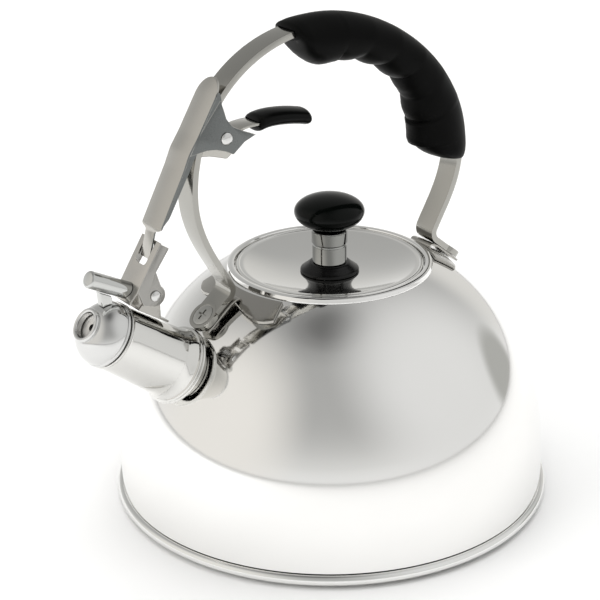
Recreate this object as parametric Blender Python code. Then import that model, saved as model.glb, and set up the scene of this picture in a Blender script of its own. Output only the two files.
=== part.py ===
"""Stovetop whistling kettle, as separate pieces.

Frame: metres, +Z up, origin on the floor under the middle of the body. The spout points along -X,
the handle lies in the XZ plane, and the front of the kettle is its spout end.
"""

import math

import bmesh
import bpy
from mathutils import Matrix, Vector

# ---------------------------------------------------------------- driving sizes

SEAM = 0.0003  # gap between pieces that touch
RUNNING = 0.0004  # gap of a piece that slides or turns past another

# Body: a short straight wall that turns into a dome
BODY_RADIUS = 0.1075
BODY_WALL = 0.0010
DOME_START = 0.0170
DOME_HEIGHT = 0.1120
DOME_POWER = 2.2

# Base
RIM_BEAD = 0.0026
RIM_HEIGHT = 0.0040
RIM_OVERHANG = 0.0025
PAN_THICKNESS = 0.0010
COVER_THICKNESS = 0.0012

# Lid opening and lid
OPENING_RADIUS = 0.0480
OPENING_RING_WIDTH = 0.0038
OPENING_RING_RISE = 0.0011
RING_WALL = 0.0009
SEAT_DEPTH = 0.0030
SEAT_LEDGE = 0.0034
LID_SHEET = 0.0008
LID_ROLL = 0.0011
LID_DISH = 0.0050
PLUG_DEPTH = 0.0110
LID_LIFT_CLEARANCE = 0.0008

# Knob stack
COLLAR_RADIUS = 0.0145
COLLAR_HEIGHT = 0.0045
FERRULE_RADIUS = 0.0088
FERRULE_HEIGHT = 0.0165
KNOB_RADIUS = 0.0173
KNOB_CROWN = 0.0083
KNOB_BELLY = 0.0092
KNOB_SCREW_RADIUS = 0.0020
INSERT_RADIUS = 0.0042
WASHER_RADIUS = 0.0070

# Spout: its axis stands nearly square on the dome
SPOUT_PITCH = math.radians(35.5)
SPOUT_DROP = 0.0009  # how far the axis lies below the square line
SPOUT_STANDOFF = 0.0019  # from the dome to the sleeve's rear end
SLEEVE_LENGTH = 0.0443
SLEEVE_FRONT_RADIUS = 0.0153
SLEEVE_REAR_RADIUS = 0.0171
SLEEVE_WALL = 0.0009
BEAD_RADIUS = 0.0191
BEAD_WIDTH = 0.0018
NECK_RADIUS = 0.0148
NECK_WALL = 0.0010
NECK_REACH = 0.0052
NECK_OVERLAP = 0.0100
SEAT_TUBE_LENGTH = 0.0090

# Whistle cap
CAP_RADIUS = 0.0160
CAP_BEAD = 0.0011
CAP_LENGTH = 0.0150
CAP_WALL = 0.0009
LIP_RADIUS = 0.0083
LIP_BEAD = 0.0011
WHISTLE_THICKNESS = 0.0008
WHISTLE_HOLE = 0.0016
WHISTLE_GAP = 0.0035
SEAL_THICKNESS = 0.0012

# Cap lever, its post and its rivet
CAP_PIVOT_BACK = 0.0074  # behind the sleeve's front
CAP_PIVOT_RISE = 0.0258  # over the spout's axis
LEVER_WIDTH = 0.0160
LEVER_SHEET = 0.0010
LEVER_LENGTH = 0.0250
LEVER_SET_BACK = 0.0036  # the foot of the lever's face, from the cap's top
LEVER_RISE = 0.0066
LEVER_PITCH = math.radians(57.5)
LEVER_CHEEK = 0.0052
EAR_RADIUS = 0.0052
SLOT_WIDTH = 0.0088
SLOT_START = 0.0017
SLOT_END = 0.0125
RIVET_RADIUS = 0.0015
RIVET_HEAD = 0.0027
RIVET_HEAD_HEIGHT = 0.0013
POST_WIDTH = 0.0118
POST_SHEET = 0.0012
POST_FRONT = 0.0042  # along the sleeve, behind its front
POST_REAR = 0.0225
POST_TOE = 0.0050  # the web's reach behind the ears
POST_SHOULDER = 0.0002  # how far the web's ends lie under the gap between the ears
BAR_RADIUS = 0.0041
BAR_LENGTH = 0.0240
BAR_PITCH = math.radians(27.6)
LUG_WIDTH = 0.0044

# Handle strip, in its own plane
STRIP_WIDTH = 0.0128
STRIP_THICKNESS = 0.0030
FOOT_RADIUS = 0.0705  # where the foot screws stand over the dome
FOOT_PAD = 0.0076
PAD_PROUD = 0.0001
FOOT_FLAT = 0.0137
BEND_RADIUS = 0.0050
LEG_ANGLE = math.radians(62)
FRONT_WAIST_OUT = 0.0097  # the strip's waists, out from the foot screws
REAR_WAIST_OUT = 0.0070
FRONT_WAIST_RISE = 0.0659  # and over the dome at the foot screws
REAR_WAIST_RISE = 0.0619
CROWN_RISE = 0.1349
CROWN_X = -0.0080
FRONT_FULLNESS = 0.58
REAR_FULLNESS = 0.50

# Foot bracket and its fastening
BRACKET_SHEET = 0.0011
BRACKET_WIDTH = 0.0150
BRACKET_HUMP = 0.0026
FLANGE_SPREAD = math.radians(29)
FLANGE_GAP = 0.0016
FLANGE_MIDDLE = 0.0066  # the flange's reach behind the tab
FLANGE_WING = 0.0121  # and at its two wings
FLANGE_CORNER = 0.0017
WING_SHARE = 0.76  # where the wings are widest, along half the flange
NUT_THICKNESS = 0.0012
NUT_RADIUS = 0.0045
NUT_CLEARANCE = 0.0005
SCREW_RADIUS = 0.0020
SCREW_HEAD_RADIUS = 0.0055
SCREW_HEAD_DEPTH = 0.0016
CROSS_REACH = 0.0050
CROSS_WIDTH = 0.0009
CROSS_DEPTH = 0.0008

# Grip, moulded round the strip from its front end to just past the rear waist
GRIP_FRONT = 0.0960  # along the strip from the front waist
GRIP_PAST_WAIST = 0.0080
GRIP_OUTER = 0.0052
GRIP_HALF_WIDTH = 0.0130
GRIP_DEPTH = 0.0200
GRIP_REAR_LOBE = 0.0090
GRIP_BUMP = 0.0022
GRIP_BUMPS = 5
GRIP_SKIN = 0.0042  # the grip's depth under the strip at its two ends

# Trigger
TRIGGER_PIVOT_IN = 0.0169  # behind the front waist
TRIGGER_PIVOT_RISE = 0.0259  # and over it
ARM_SHEET = 0.0010
TONGUE_WIDTH = 0.0074
TONGUE_SHOULDER = 0.0052  # over the bridge of the lever's slot
TONGUE_REACH = 0.0085  # and under it
CHEEK_SHEET = 0.0012
CHEEK_GAP = 0.0004
ARM_WIDTH = STRIP_WIDTH + 2 * (CHEEK_SHEET + CHEEK_GAP)
TRIGGER_RIVET_HEAD = 0.0031
THUMB_SHEET = 0.0012
THUMB_GAP = 0.0009  # between the thumb lever and each cheek
THUMB_WIDTH = ARM_WIDTH - 2 * (CHEEK_SHEET + THUMB_GAP)
PAD_THICKNESS = 0.0050
PAD_WIDTH = 0.0158
HANGER_SETBACK = 0.0003  # on each side, inside the strip's edges
HANGER_WIDTH = STRIP_WIDTH - 2 * HANGER_SETBACK

FINE = 48  # faces round the body
MEDIUM = 28  # faces round spout-sized pieces
SMALL = 16  # faces round pins and screws

# ---------------------------------------------------------------- materials

STEEL = ("polished_steel", (0.78, 0.78, 0.78), 0.10, 1.0)
BRUSHED = ("brushed_steel", (0.66, 0.64, 0.61), 0.28, 1.0)
CHROME = ("chrome", (0.85, 0.86, 0.87), 0.05, 1.0)
ALUMINIUM = ("aluminium", (0.72, 0.72, 0.73), 0.35, 1.0)
BRASS = ("brass", (0.72, 0.55, 0.25), 0.30, 1.0)
BLACK_SOFT = ("black_grip", (0.012, 0.012, 0.013), 0.42, 0.0)
BLACK_GLOSS = ("black_knob", (0.010, 0.010, 0.011), 0.16, 0.0)
SILICONE = ("seal_silicone", (0.30, 0.30, 0.30), 0.60, 0.0)


def clear_scene():
    for leftover in list(bpy.data.objects):
        bpy.data.objects.remove(leftover, do_unlink=True)


def material(recipe):
    name, colour, roughness, metallic = recipe
    if name in bpy.data.materials:
        return bpy.data.materials[name]
    made = bpy.data.materials.new(name)
    made.use_nodes = True
    shader = made.node_tree.nodes["Principled BSDF"]
    shader.inputs["Base Color"].default_value = (*colour, 1.0)
    shader.inputs["Roughness"].default_value = roughness
    shader.inputs["Metallic"].default_value = metallic
    return made


# ---------------------------------------------------------------- mesh helpers


def add_object(name, bm, recipe=None, matrix=None):
    """Make an object of this bmesh. With no material it is a helper, hidden from the render."""
    bmesh.ops.recalc_face_normals(bm, faces=bm.faces[:])
    mesh = bpy.data.meshes.new(name)
    bm.to_mesh(mesh)
    bm.free()
    made = bpy.data.objects.new(name, mesh)
    bpy.context.scene.collection.objects.link(made)
    if matrix is not None:
        made.matrix_world = matrix
    if recipe is None:
        made.hide_render = True
        made.display_type = "WIRE"
    else:
        mesh.materials.append(material(recipe))
        mesh.shade_smooth()
        mesh.set_sharp_from_angle(angle=math.radians(32))
    return made


def turned(name, profile, recipe=None, matrix=None, steps=MEDIUM):
    """Turn a closed profile of (radius, height) points about Z."""
    bm = bmesh.new()
    corners = [bm.verts.new((radius, 0.0, height)) for radius, height in profile]
    edges = [bm.edges.new((a, b)) for a, b in zip(corners, corners[1:] + corners[:1])]
    bmesh.ops.spin(
        bm,
        geom=corners + edges,
        cent=(0, 0, 0),
        axis=(0, 0, 1),
        angle=math.tau,
        steps=steps,
        use_merge=True,
    )
    bmesh.ops.remove_doubles(bm, verts=bm.verts[:], dist=1e-6)
    bmesh.ops.dissolve_degenerate(bm, edges=bm.edges[:], dist=1e-7)
    lone = [edge for edge in bm.edges if not edge.link_faces]
    bmesh.ops.delete(bm, geom=lone, context="EDGES")
    return add_object(name, bm, recipe, matrix)


def extruded(name, outline, low, high, recipe=None, matrix=None):
    """Extrude an outline of (x, z) points along Y from low to high."""
    bm = bmesh.new()
    face = bm.faces.new([bm.verts.new((x, low, z)) for x, z in outline])
    moved = bmesh.ops.extrude_face_region(bm, geom=[face])["geom"]
    bmesh.ops.translate(
        bm, verts=[v for v in moved if isinstance(v, bmesh.types.BMVert)], vec=(0, high - low, 0)
    )
    return add_object(name, bm, recipe, matrix)


def lofted(name, rings, recipe=None, matrix=None):
    """Bridge closed rings of points, and cap the two end rings."""
    bm = bmesh.new()
    loops = [[bm.verts.new(point) for point in ring] for ring in rings]
    for first, second in zip(loops, loops[1:]):
        for i in range(len(first)):
            j = (i + 1) % len(first)
            bm.faces.new((first[i], first[j], second[j], second[i]))
    bm.faces.new(loops[0])
    bm.faces.new(loops[-1])
    return add_object(name, bm, recipe, matrix)


def boolean(target, other, operation):
    modifier = target.modifiers.new(operation.lower() + "_" + other.name, "BOOLEAN")
    modifier.operation = operation
    modifier.solver = "EXACT"
    modifier.object = other


def circle_points(cx, cz, radius, start, end, steps):
    """Points of an arc, with the angles in degrees."""
    angles = [math.radians(start + (end - start) * i / steps) for i in range(steps + 1)]
    return [(cx + radius * math.cos(a), cz + radius * math.sin(a)) for a in angles]


def bezier(p0, p1, p2, p3, steps):
    """Points of one cubic stretch, leaving out its first point."""
    points = []
    for i in range(1, steps + 1):
        t = i / steps
        s = 1 - t
        weights = (s**3, 3 * s * s * t, 3 * s * t * t, t**3)
        points.append(
            tuple(sum(w * p[k] for w, p in zip(weights, (p0, p1, p2, p3))) for k in (0, 1))
        )
    return points


def offset_line(points, distance):
    """The line moved to its left by this distance."""
    moved = []
    for i, (x, z) in enumerate(points):
        x0, z0 = points[max(i - 1, 0)]
        x1, z1 = points[min(i + 1, len(points) - 1)]
        length = math.hypot(x1 - x0, z1 - z0)
        moved.append((x - (z1 - z0) / length * distance, z + (x1 - x0) / length * distance))
    return moved


def strip_outline(points, thickness):
    """The outline of a bent sheet, from its middle line."""
    left = offset_line(points, thickness / 2)
    right = offset_line(points, -thickness / 2)
    return left + right[::-1]


def along(axis_name):
    """A rotation that turns +Z to the named axis."""
    turns = {
        "Y": Matrix.Rotation(-math.pi / 2, 4, "X"),
        "spout": Matrix.Rotation(SPOUT_PITCH - math.pi / 2, 4, "Y"),
    }
    return turns[axis_name]


# ---------------------------------------------------------------- body shape


def dome_z(radius):
    """Height of the dome's outer face at this radius."""
    share = min(radius / BODY_RADIUS, 1.0)
    return DOME_START + DOME_HEIGHT * (1 - share**DOME_POWER) ** (1 / DOME_POWER)


def dome_slope(radius):
    """How steeply the dome's outer face falls at this radius."""
    share = radius / BODY_RADIUS
    rise = (dome_z(radius) - DOME_START) / DOME_HEIGHT
    return math.atan(DOME_HEIGHT / BODY_RADIUS * (share / rise) ** (DOME_POWER - 1))


def dome_line(inner_radius, depth, steps):
    """(radius, height) from the wall's top end up to inner_radius, set in by depth."""
    points = []
    share = inner_radius / BODY_RADIUS
    last = math.acos(share ** (DOME_POWER / 2))
    for i in range(steps + 1):
        angle = last * i / steps
        radius = BODY_RADIUS * math.cos(angle) ** (2 / DOME_POWER)
        height = DOME_START + DOME_HEIGHT * math.sin(angle) ** (2 / DOME_POWER)
        slope = dome_slope(radius) if 0 < i else math.pi / 2
        points.append((radius - depth * math.sin(slope), height - depth * math.cos(slope)))
    return points


RIM_CENTRE = BODY_RADIUS + RIM_OVERHANG - RIM_BEAD
FLOOR_BOTTOM = RIM_HEIGHT + 0.0012
FLOOR_TOP = FLOOR_BOTTOM + PAN_THICKNESS
SHELL_BOTTOM = RIM_HEIGHT + RIM_BEAD + SEAM
RING_OUTER = OPENING_RADIUS + OPENING_RING_WIDTH - 0.0010
RING_INNER = OPENING_RADIUS - 0.0010
RING_TOP = dome_z(OPENING_RADIUS) + SEAM + OPENING_RING_RISE
SEAT_TOP = RING_TOP - SEAT_DEPTH
SEAT_INNER = RING_INNER - SEAT_LEDGE
LID_RADIUS = RING_INNER - LID_LIFT_CLEARANCE


def slope_radius(slope):
    """The radius where the dome's outer face falls this steeply."""
    low = 0.0
    high = 0.999 * BODY_RADIUS
    for _ in range(50):
        middle = (low + high) / 2
        if dome_slope(middle) < slope:
            low = middle
        else:
            high = middle
    return low


SPOUT_ROOT = slope_radius(math.pi / 2 - SPOUT_PITCH)


def spout_point(distance, side=0.0):
    """(x, z) this far out along the spout's axis from the sleeve's front, and this far over it."""
    out = SPOUT_STANDOFF + SLEEVE_LENGTH + distance
    over = side - SPOUT_DROP
    x = -SPOUT_ROOT - out * math.cos(SPOUT_PITCH) + over * math.sin(SPOUT_PITCH)
    z = dome_z(SPOUT_ROOT) + out * math.sin(SPOUT_PITCH) + over * math.cos(SPOUT_PITCH)
    return x, z


def spout_frame():
    x, z = spout_point(0.0)
    return Matrix.Translation((x, 0, z)) @ along("spout")


def make_body():
    outer = dome_line(OPENING_RADIUS, 0.0, 13)
    inner = dome_line(OPENING_RADIUS, BODY_WALL, 13)
    inner[-1] = (OPENING_RADIUS, inner[-1][1])
    profile = [(BODY_RADIUS, SHELL_BOTTOM)] + outer + inner[::-1]
    profile.append((BODY_RADIUS - BODY_WALL, SHELL_BOTTOM))
    shell = turned("body_shell", profile, STEEL, steps=FINE)
    hole = turned(
        "spout_hole_cutter",
        [(0, -0.080), (NECK_RADIUS + SEAM, -0.080), (NECK_RADIUS + SEAM, 0.0), (0, 0.0)],
        matrix=spout_frame(),
    )
    boolean(shell, hole, "DIFFERENCE")


def make_base():
    bead = circle_points(RIM_CENTRE, RIM_HEIGHT, RIM_BEAD, 122, -207, 13)
    turned(
        "base_pan",
        [(0, FLOOR_BOTTOM), (0, FLOOR_TOP)] + [(bead[0][0], FLOOR_TOP)] + bead[1:],
        STEEL,
        steps=FINE,
    )
    core_top = FLOOR_BOTTOM - SEAM
    core_bottom = COVER_THICKNESS + SEAM
    core = RIM_CENTRE - RIM_BEAD - 0.0006
    turned(
        "heat_disc",
        [(0, core_bottom), (0, core_top), (core, core_top), (core, core_bottom)],
        ALUMINIUM,
        steps=FINE,
    )
    cover = RIM_CENTRE - 0.0014
    edge = 0.0004
    turned(
        "base_cover",
        [
            (0, 0),
            (0, COVER_THICKNESS),
            (cover - edge, COVER_THICKNESS),
            (cover, COVER_THICKNESS - edge),
            (cover, edge),
            (cover - edge, 0),
        ],
        STEEL,
        steps=FINE,
    )


def make_opening_ring():
    """A raised ring on the dome, whose skirt goes through the opening and carries the lid's seat."""
    skirt = OPENING_RADIUS - SEAM
    under = [(radius, dome_z(radius) + SEAM) for radius in (skirt, OPENING_RADIUS + 0.0014)]
    top_curve = [
        (RING_OUTER, dome_z(RING_OUTER) + SEAM),
        (RING_OUTER - 0.0002, dome_z(RING_OUTER) + SEAM + OPENING_RING_RISE * 0.9),
        (RING_OUTER - 0.0010, RING_TOP - 0.0002),
        ((RING_OUTER + RING_INNER) / 2, RING_TOP),
        (RING_INNER + 0.0003, RING_TOP - 0.0001),
        (RING_INNER, RING_TOP - 0.0005),
    ]
    seat_bottom = SEAT_TOP - RING_WALL
    seat = [
        (RING_INNER, SEAT_TOP),
        (SEAT_INNER, SEAT_TOP),
        (SEAT_INNER, seat_bottom),
        (skirt, seat_bottom),
    ]
    turned("opening_ring", under + top_curve + seat, STEEL, steps=FINE)


# ---------------------------------------------------------------- lid


def lid_top(radius):
    """The lid's upper face: flat under the collar and rising to the rolled edge."""
    rim = SEAT_TOP + SEAM + 2 * LID_ROLL
    share = min(max(radius, COLLAR_RADIUS) / (SEAT_INNER - 0.0010), 1.0)
    return rim - 0.0004 - LID_DISH * (1 - share**2.6)


def make_lid():
    roll_z = SEAT_TOP + SEAM + LID_ROLL
    roll = circle_points(LID_RADIUS - LID_ROLL, roll_z, LID_ROLL, 140, -160, 8)
    hole = KNOB_SCREW_RADIUS + SEAM
    spans = [hole] + [COLLAR_RADIUS + i * 0.0048 for i in range(7)]
    upper = [(r, lid_top(r)) for r in spans if r < LID_RADIUS - 2 * LID_ROLL]
    lower = [(r, z - LID_SHEET) for r, z in upper]
    turned("lid", lower[::-1] + upper + roll, STEEL, steps=FINE)
    plug = SEAT_INNER - LID_LIFT_CLEARANCE
    plug_top = lid_top(plug) - LID_SHEET - SEAM
    inner = plug - RING_WALL
    turned(
        "lid_plug_ring",
        [
            (inner, lid_top(inner) - LID_SHEET - SEAM - 0.0003),
            (plug, plug_top - 0.0003),
            (plug, plug_top - PLUG_DEPTH),
            (inner, plug_top - PLUG_DEPTH),
        ],
        STEEL,
        steps=FINE,
    )


def make_knob():
    lid_face = lid_top(COLLAR_RADIUS) + SEAM
    collar_top = lid_face + COLLAR_HEIGHT
    bore = KNOB_SCREW_RADIUS + SEAM
    turned(
        "heat_collar",
        [
            (bore, lid_face),
            (bore, collar_top),
            (FERRULE_RADIUS + 0.0004, collar_top),
            (FERRULE_RADIUS + 0.0022, collar_top - 0.0014),
            (COLLAR_RADIUS - 0.0020, lid_face + 0.0017),
            (COLLAR_RADIUS, lid_face + 0.0008),
            (COLLAR_RADIUS, lid_face),
        ],
        BLACK_GLOSS,
    )
    foot = collar_top + SEAM
    top = foot + FERRULE_HEIGHT
    groove = foot + FERRULE_HEIGHT * 0.56
    turned(
        "knob_ferrule",
        [
            (bore, foot),
            (bore, top),
            (FERRULE_RADIUS, top),
            (FERRULE_RADIUS, groove + 0.0006),
            (FERRULE_RADIUS - 0.0007, groove + 0.0001),
            (FERRULE_RADIUS - 0.0007, groove - 0.0005),
            (FERRULE_RADIUS - 0.0003, groove - 0.0009),
            (FERRULE_RADIUS - 0.0003, foot),
        ],
        CHROME,
    )
    base = top + SEAM
    middle = base + KNOB_BELLY
    pocket = INSERT_RADIUS + SEAM
    pocket_top = middle + 0.0008
    belly = [
        (KNOB_RADIUS * math.sin(a), middle - KNOB_BELLY * math.cos(a))
        for a in (math.radians(34 + 11.2 * i) for i in range(5))
    ]
    crown = [
        (KNOB_RADIUS * math.cos(a), middle + KNOB_CROWN * math.sin(a))
        for a in (math.radians(11.25 * i) for i in range(8))
    ]
    turned(
        "knob",
        [(0, pocket_top), (pocket, pocket_top), (pocket, base), (FERRULE_RADIUS - 0.0012, base)]
        + belly
        + crown
        + [(0, middle + KNOB_CROWN)],
        BLACK_GLOSS,
        steps=32,
    )
    turned(
        "knob_insert",
        [(bore, base + SEAM), (bore, middle), (INSERT_RADIUS, middle), (INSERT_RADIUS, base + SEAM)],
        BRASS,
        steps=SMALL,
    )
    under = lid_top(COLLAR_RADIUS) - LID_SHEET - SEAM
    turned(
        "knob_washer",
        [(bore, under - 0.0008), (bore, under), (WASHER_RADIUS, under), (WASHER_RADIUS, under - 0.0008)],
        STEEL,
        steps=SMALL,
    )
    head = under - 0.0008 - SEAM
    screw = turned(
        "knob_screw",
        [
            (0, head - 0.0024),
            (0, middle - SEAM),
            (KNOB_SCREW_RADIUS, middle - SEAM),
            (KNOB_SCREW_RADIUS, head),
            (KNOB_SCREW_RADIUS * 2.1, head),
            (KNOB_SCREW_RADIUS * 2.1, head - 0.0010),
            (KNOB_SCREW_RADIUS * 1.4, head - 0.0024),
        ],
        STEEL,
        steps=SMALL,
    )
    for number, (length, width) in enumerate(((0.0044, CROSS_WIDTH), (CROSS_WIDTH, 0.0044))):
        corners = [(-length / 2, head - 0.0034), (length / 2, head - 0.0034)]
        corners += [(length / 2, head - 0.0024 + CROSS_DEPTH), (-length / 2, head - 0.0024 + CROSS_DEPTH)]
        slot = extruded(f"knob_cross_cutter_{number}", corners, -width / 2, width / 2)
        boolean(screw, slot, "DIFFERENCE")


# ---------------------------------------------------------------- spout


def sleeve_radius(distance):
    """Outer radius of the sleeve this far behind its front end."""
    return SLEEVE_FRONT_RADIUS + (SLEEVE_REAR_RADIUS - SLEEVE_FRONT_RADIUS) * distance / SLEEVE_LENGTH


def make_spout():
    rear = -SLEEVE_LENGTH
    bead_inner = BEAD_RADIUS - 0.0010
    flare = rear + 2 * BEAD_WIDTH
    neck_clear = NECK_RADIUS + SEAM
    front_bead = SLEEVE_FRONT_RADIUS + 0.0006
    outer = [
        (SLEEVE_FRONT_RADIUS - SLEEVE_WALL, -SEAM),
        (front_bead - 0.0003, -SEAM),
        (front_bead, -SEAM - 0.0004),
        (front_bead, -0.0014),
        (SLEEVE_FRONT_RADIUS, -0.0019),
        (sleeve_radius(-flare - 0.0050), flare + 0.0050),
        (sleeve_radius(-flare - 0.0018), flare + 0.0018),
        (bead_inner - 0.0004, flare + 0.0003),
    ]
    for number in range(2):
        centre = rear + BEAD_WIDTH * (1.5 - number)
        outer += circle_points(bead_inner + 0.0001, centre, BEAD_WIDTH / 2 - 0.00005, 60, -60, 4)
    outer += [(bead_inner, rear), (neck_clear, rear)]
    inner = [
        (neck_clear, rear + BEAD_WIDTH),
        (sleeve_radius(SLEEVE_LENGTH - 0.0060) - SLEEVE_WALL, rear + 0.0060),
    ]
    turned("spout_sleeve", outer + inner, STEEL, matrix=spout_frame())
    neck_back = rear - NECK_REACH
    turned(
        "spout_neck",
        [
            (NECK_RADIUS - NECK_WALL, neck_back),
            (NECK_RADIUS - NECK_WALL, rear + NECK_OVERLAP),
            (NECK_RADIUS, rear + NECK_OVERLAP),
            (NECK_RADIUS, neck_back),
        ],
        STEEL,
        matrix=spout_frame(),
    )
    tube = SLEEVE_FRONT_RADIUS - SLEEVE_WALL - SEAM
    turned(
        "spout_seat_tube",
        [
            (tube - 0.0012, -SEAM),
            (tube, -SEAM),
            (tube, -SEAT_TUBE_LENGTH),
            (tube - 0.0012, -SEAT_TUBE_LENGTH),
        ],
        STEEL,
        matrix=spout_frame(),
    )


# ---------------------------------------------------------------- whistle cap


def cap_profile():
    """(radius, distance) of the cap's outer face, from its bead to its lip."""
    bead = circle_points(CAP_RADIUS - CAP_BEAD, 0.0 + CAP_BEAD + SEAM, CAP_BEAD, -90, 60, 6)
    start = bead[-1]
    end = (LIP_RADIUS - 0.0004, CAP_LENGTH - 2 * LIP_BEAD)
    side = bezier(
        start, (CAP_RADIUS - 0.0004, CAP_LENGTH * 0.50), (LIP_RADIUS + 0.0026, CAP_LENGTH * 0.80), end, 7
    )
    lip = circle_points(LIP_RADIUS - LIP_BEAD, CAP_LENGTH - LIP_BEAD, LIP_BEAD, -50, 200, 7)
    return bead + side + lip


def make_cap():
    outer = cap_profile()
    lip_inner = LIP_RADIUS - 2 * LIP_BEAD
    seal_radius = CAP_RADIUS - 2 * CAP_BEAD
    inner = [
        (lip_inner + 0.0002, CAP_LENGTH - 3.2 * LIP_BEAD),
        (lip_inner + 0.0016, CAP_LENGTH - 3.6 * LIP_BEAD),
        (CAP_RADIUS - 0.0042, CAP_LENGTH * 0.52),
        (CAP_RADIUS - CAP_WALL - 0.0008, CAP_LENGTH * 0.25),
        (CAP_RADIUS - CAP_WALL - 0.0008, 2 * CAP_BEAD),
        (seal_radius + 0.0004, CAP_BEAD + SEAM),
    ]
    turned("cap_dome", outer + inner, CHROME, matrix=spout_frame())
    whistle = lip_inner + 0.0010
    front = CAP_LENGTH - 3.6 * LIP_BEAD - SEAM
    plates = (
        ("whistle_front_plate", front - WHISTLE_THICKNESS, whistle),
        ("whistle_rear_plate", front - 2 * WHISTLE_THICKNESS - WHISTLE_GAP, whistle + 0.0018),
    )
    for name, back, radius in plates:
        turned(
            name,
            [
                (WHISTLE_HOLE, back),
                (WHISTLE_HOLE, back + WHISTLE_THICKNESS),
                (radius, back + WHISTLE_THICKNESS),
                (radius, back),
            ],
            BRUSHED,
            matrix=spout_frame(),
        )
    seal_back = 2 * SEAM
    turned(
        "cap_seal",
        [
            (seal_radius - 0.0042, seal_back),
            (seal_radius - 0.0042, seal_back + SEAL_THICKNESS),
            (seal_radius, seal_back + SEAL_THICKNESS),
            (seal_radius, seal_back),
        ],
        SILICONE,
        matrix=spout_frame(),
    )


# ---------------------------------------------------------------- cap lever


def lever_point(down, inward=0.0):
    """(x, z) this far down the lever's face from its top end, and this far behind it."""
    x = LEVER_TOP[0] - down * math.cos(LEVER_PITCH) + inward * math.sin(LEVER_PITCH)
    z = LEVER_TOP[1] - down * math.sin(LEVER_PITCH) - inward * math.cos(LEVER_PITCH)
    return x, z


CAP_PIVOT = spout_point(-CAP_PIVOT_BACK, CAP_PIVOT_RISE)
CAP_TOP = spout_point(CAP_BEAD + SEAM, CAP_RADIUS)
LEVER_FOOT = (CAP_TOP[0] + LEVER_SET_BACK, CAP_TOP[1] + LEVER_RISE)
LEVER_TOP = (
    LEVER_FOOT[0] + LEVER_LENGTH * math.cos(LEVER_PITCH),
    LEVER_FOOT[1] + LEVER_LENGTH * math.sin(LEVER_PITCH),
)


def lever_line():
    """The middle line of the lever's face, from its top end to its landing on the cap."""
    landing = spout_point(CAP_BEAD * 2 + SEAM, CAP_RADIUS + SEAM + LEVER_SHEET * 0.8)
    bend = (landing[0], landing[1] + 0.0022)
    face = [LEVER_TOP, LEVER_FOOT]
    return face + bezier(LEVER_FOOT, lever_point(LEVER_LENGTH + 0.0025), bend, landing, 4)


def cross_pin(name, pivot, radius, reach):
    """A round cutter along Y through this pivot."""
    return turned(
        name,
        [(0, -reach), (radius, -reach), (radius, reach), (0, reach)],
        matrix=Matrix.Translation((pivot[0], 0, pivot[1])) @ along("Y"),
        steps=SMALL,
    )


def make_cap_lever():
    half = LEVER_WIDTH / 2
    lever = extruded("cap_lever", strip_outline(lever_line(), LEVER_SHEET), -half, half, BRUSHED)
    ear = circle_points(CAP_PIVOT[0], CAP_PIVOT[1], EAR_RADIUS, 52, -118, 9)
    cheek = [
        lever_point(0.0003, 0.0001),
        lever_point(0.0006, LEVER_CHEEK),
        lever_point(LEVER_LENGTH * 0.52, LEVER_CHEEK - 0.0008),
    ]
    cheek += ear + [(CAP_PIVOT[0] - EAR_RADIUS - 0.0012, CAP_PIVOT[1] - 0.0034)]
    cheek.append(lever_point(LEVER_LENGTH - 0.0003, 0.0001))
    for number, side in enumerate((-1, 1)):
        low, high = sorted((side * half, side * (half - LEVER_SHEET)))
        plate = extruded(f"cap_lever_cheek_{number}", cheek, low, high)
        boolean(lever, plate, "UNION")
    slot = [
        lever_point(SLOT_START, -0.0030),
        lever_point(SLOT_START, 0.0022),
        lever_point(SLOT_END, 0.0022),
        lever_point(SLOT_END, -0.0030),
    ]
    boolean(lever, extruded("lever_slot_cutter", slot, -SLOT_WIDTH / 2, SLOT_WIDTH / 2), "DIFFERENCE")
    pin = cross_pin("lever_rivet_cutter", CAP_PIVOT, RIVET_RADIUS + RUNNING, LEVER_WIDTH)
    boolean(lever, pin, "DIFFERENCE")


def rivet(name, pivot, half, head):
    """A pin along Y with a domed head outside each face at y = half."""
    face = half + RUNNING
    dome = [
        (head * math.cos(a), face + RIVET_HEAD_HEIGHT * math.sin(a))
        for a in (math.radians(18 * i) for i in range(6))
    ]
    dome[-1] = (0, face + RIVET_HEAD_HEIGHT)
    top = [(RIVET_RADIUS, face)] + dome
    profile = top + [(radius, -height) for radius, height in reversed(top)]
    return turned(
        name, profile, CHROME, matrix=Matrix.Translation((pivot[0], 0, pivot[1])) @ along("Y"), steps=SMALL
    )


def sleeve_top(distance, lift):
    """(x, z) over the sleeve's upper side, this far behind its front."""
    return spout_point(-distance, sleeve_radius(distance) + lift)


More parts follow.
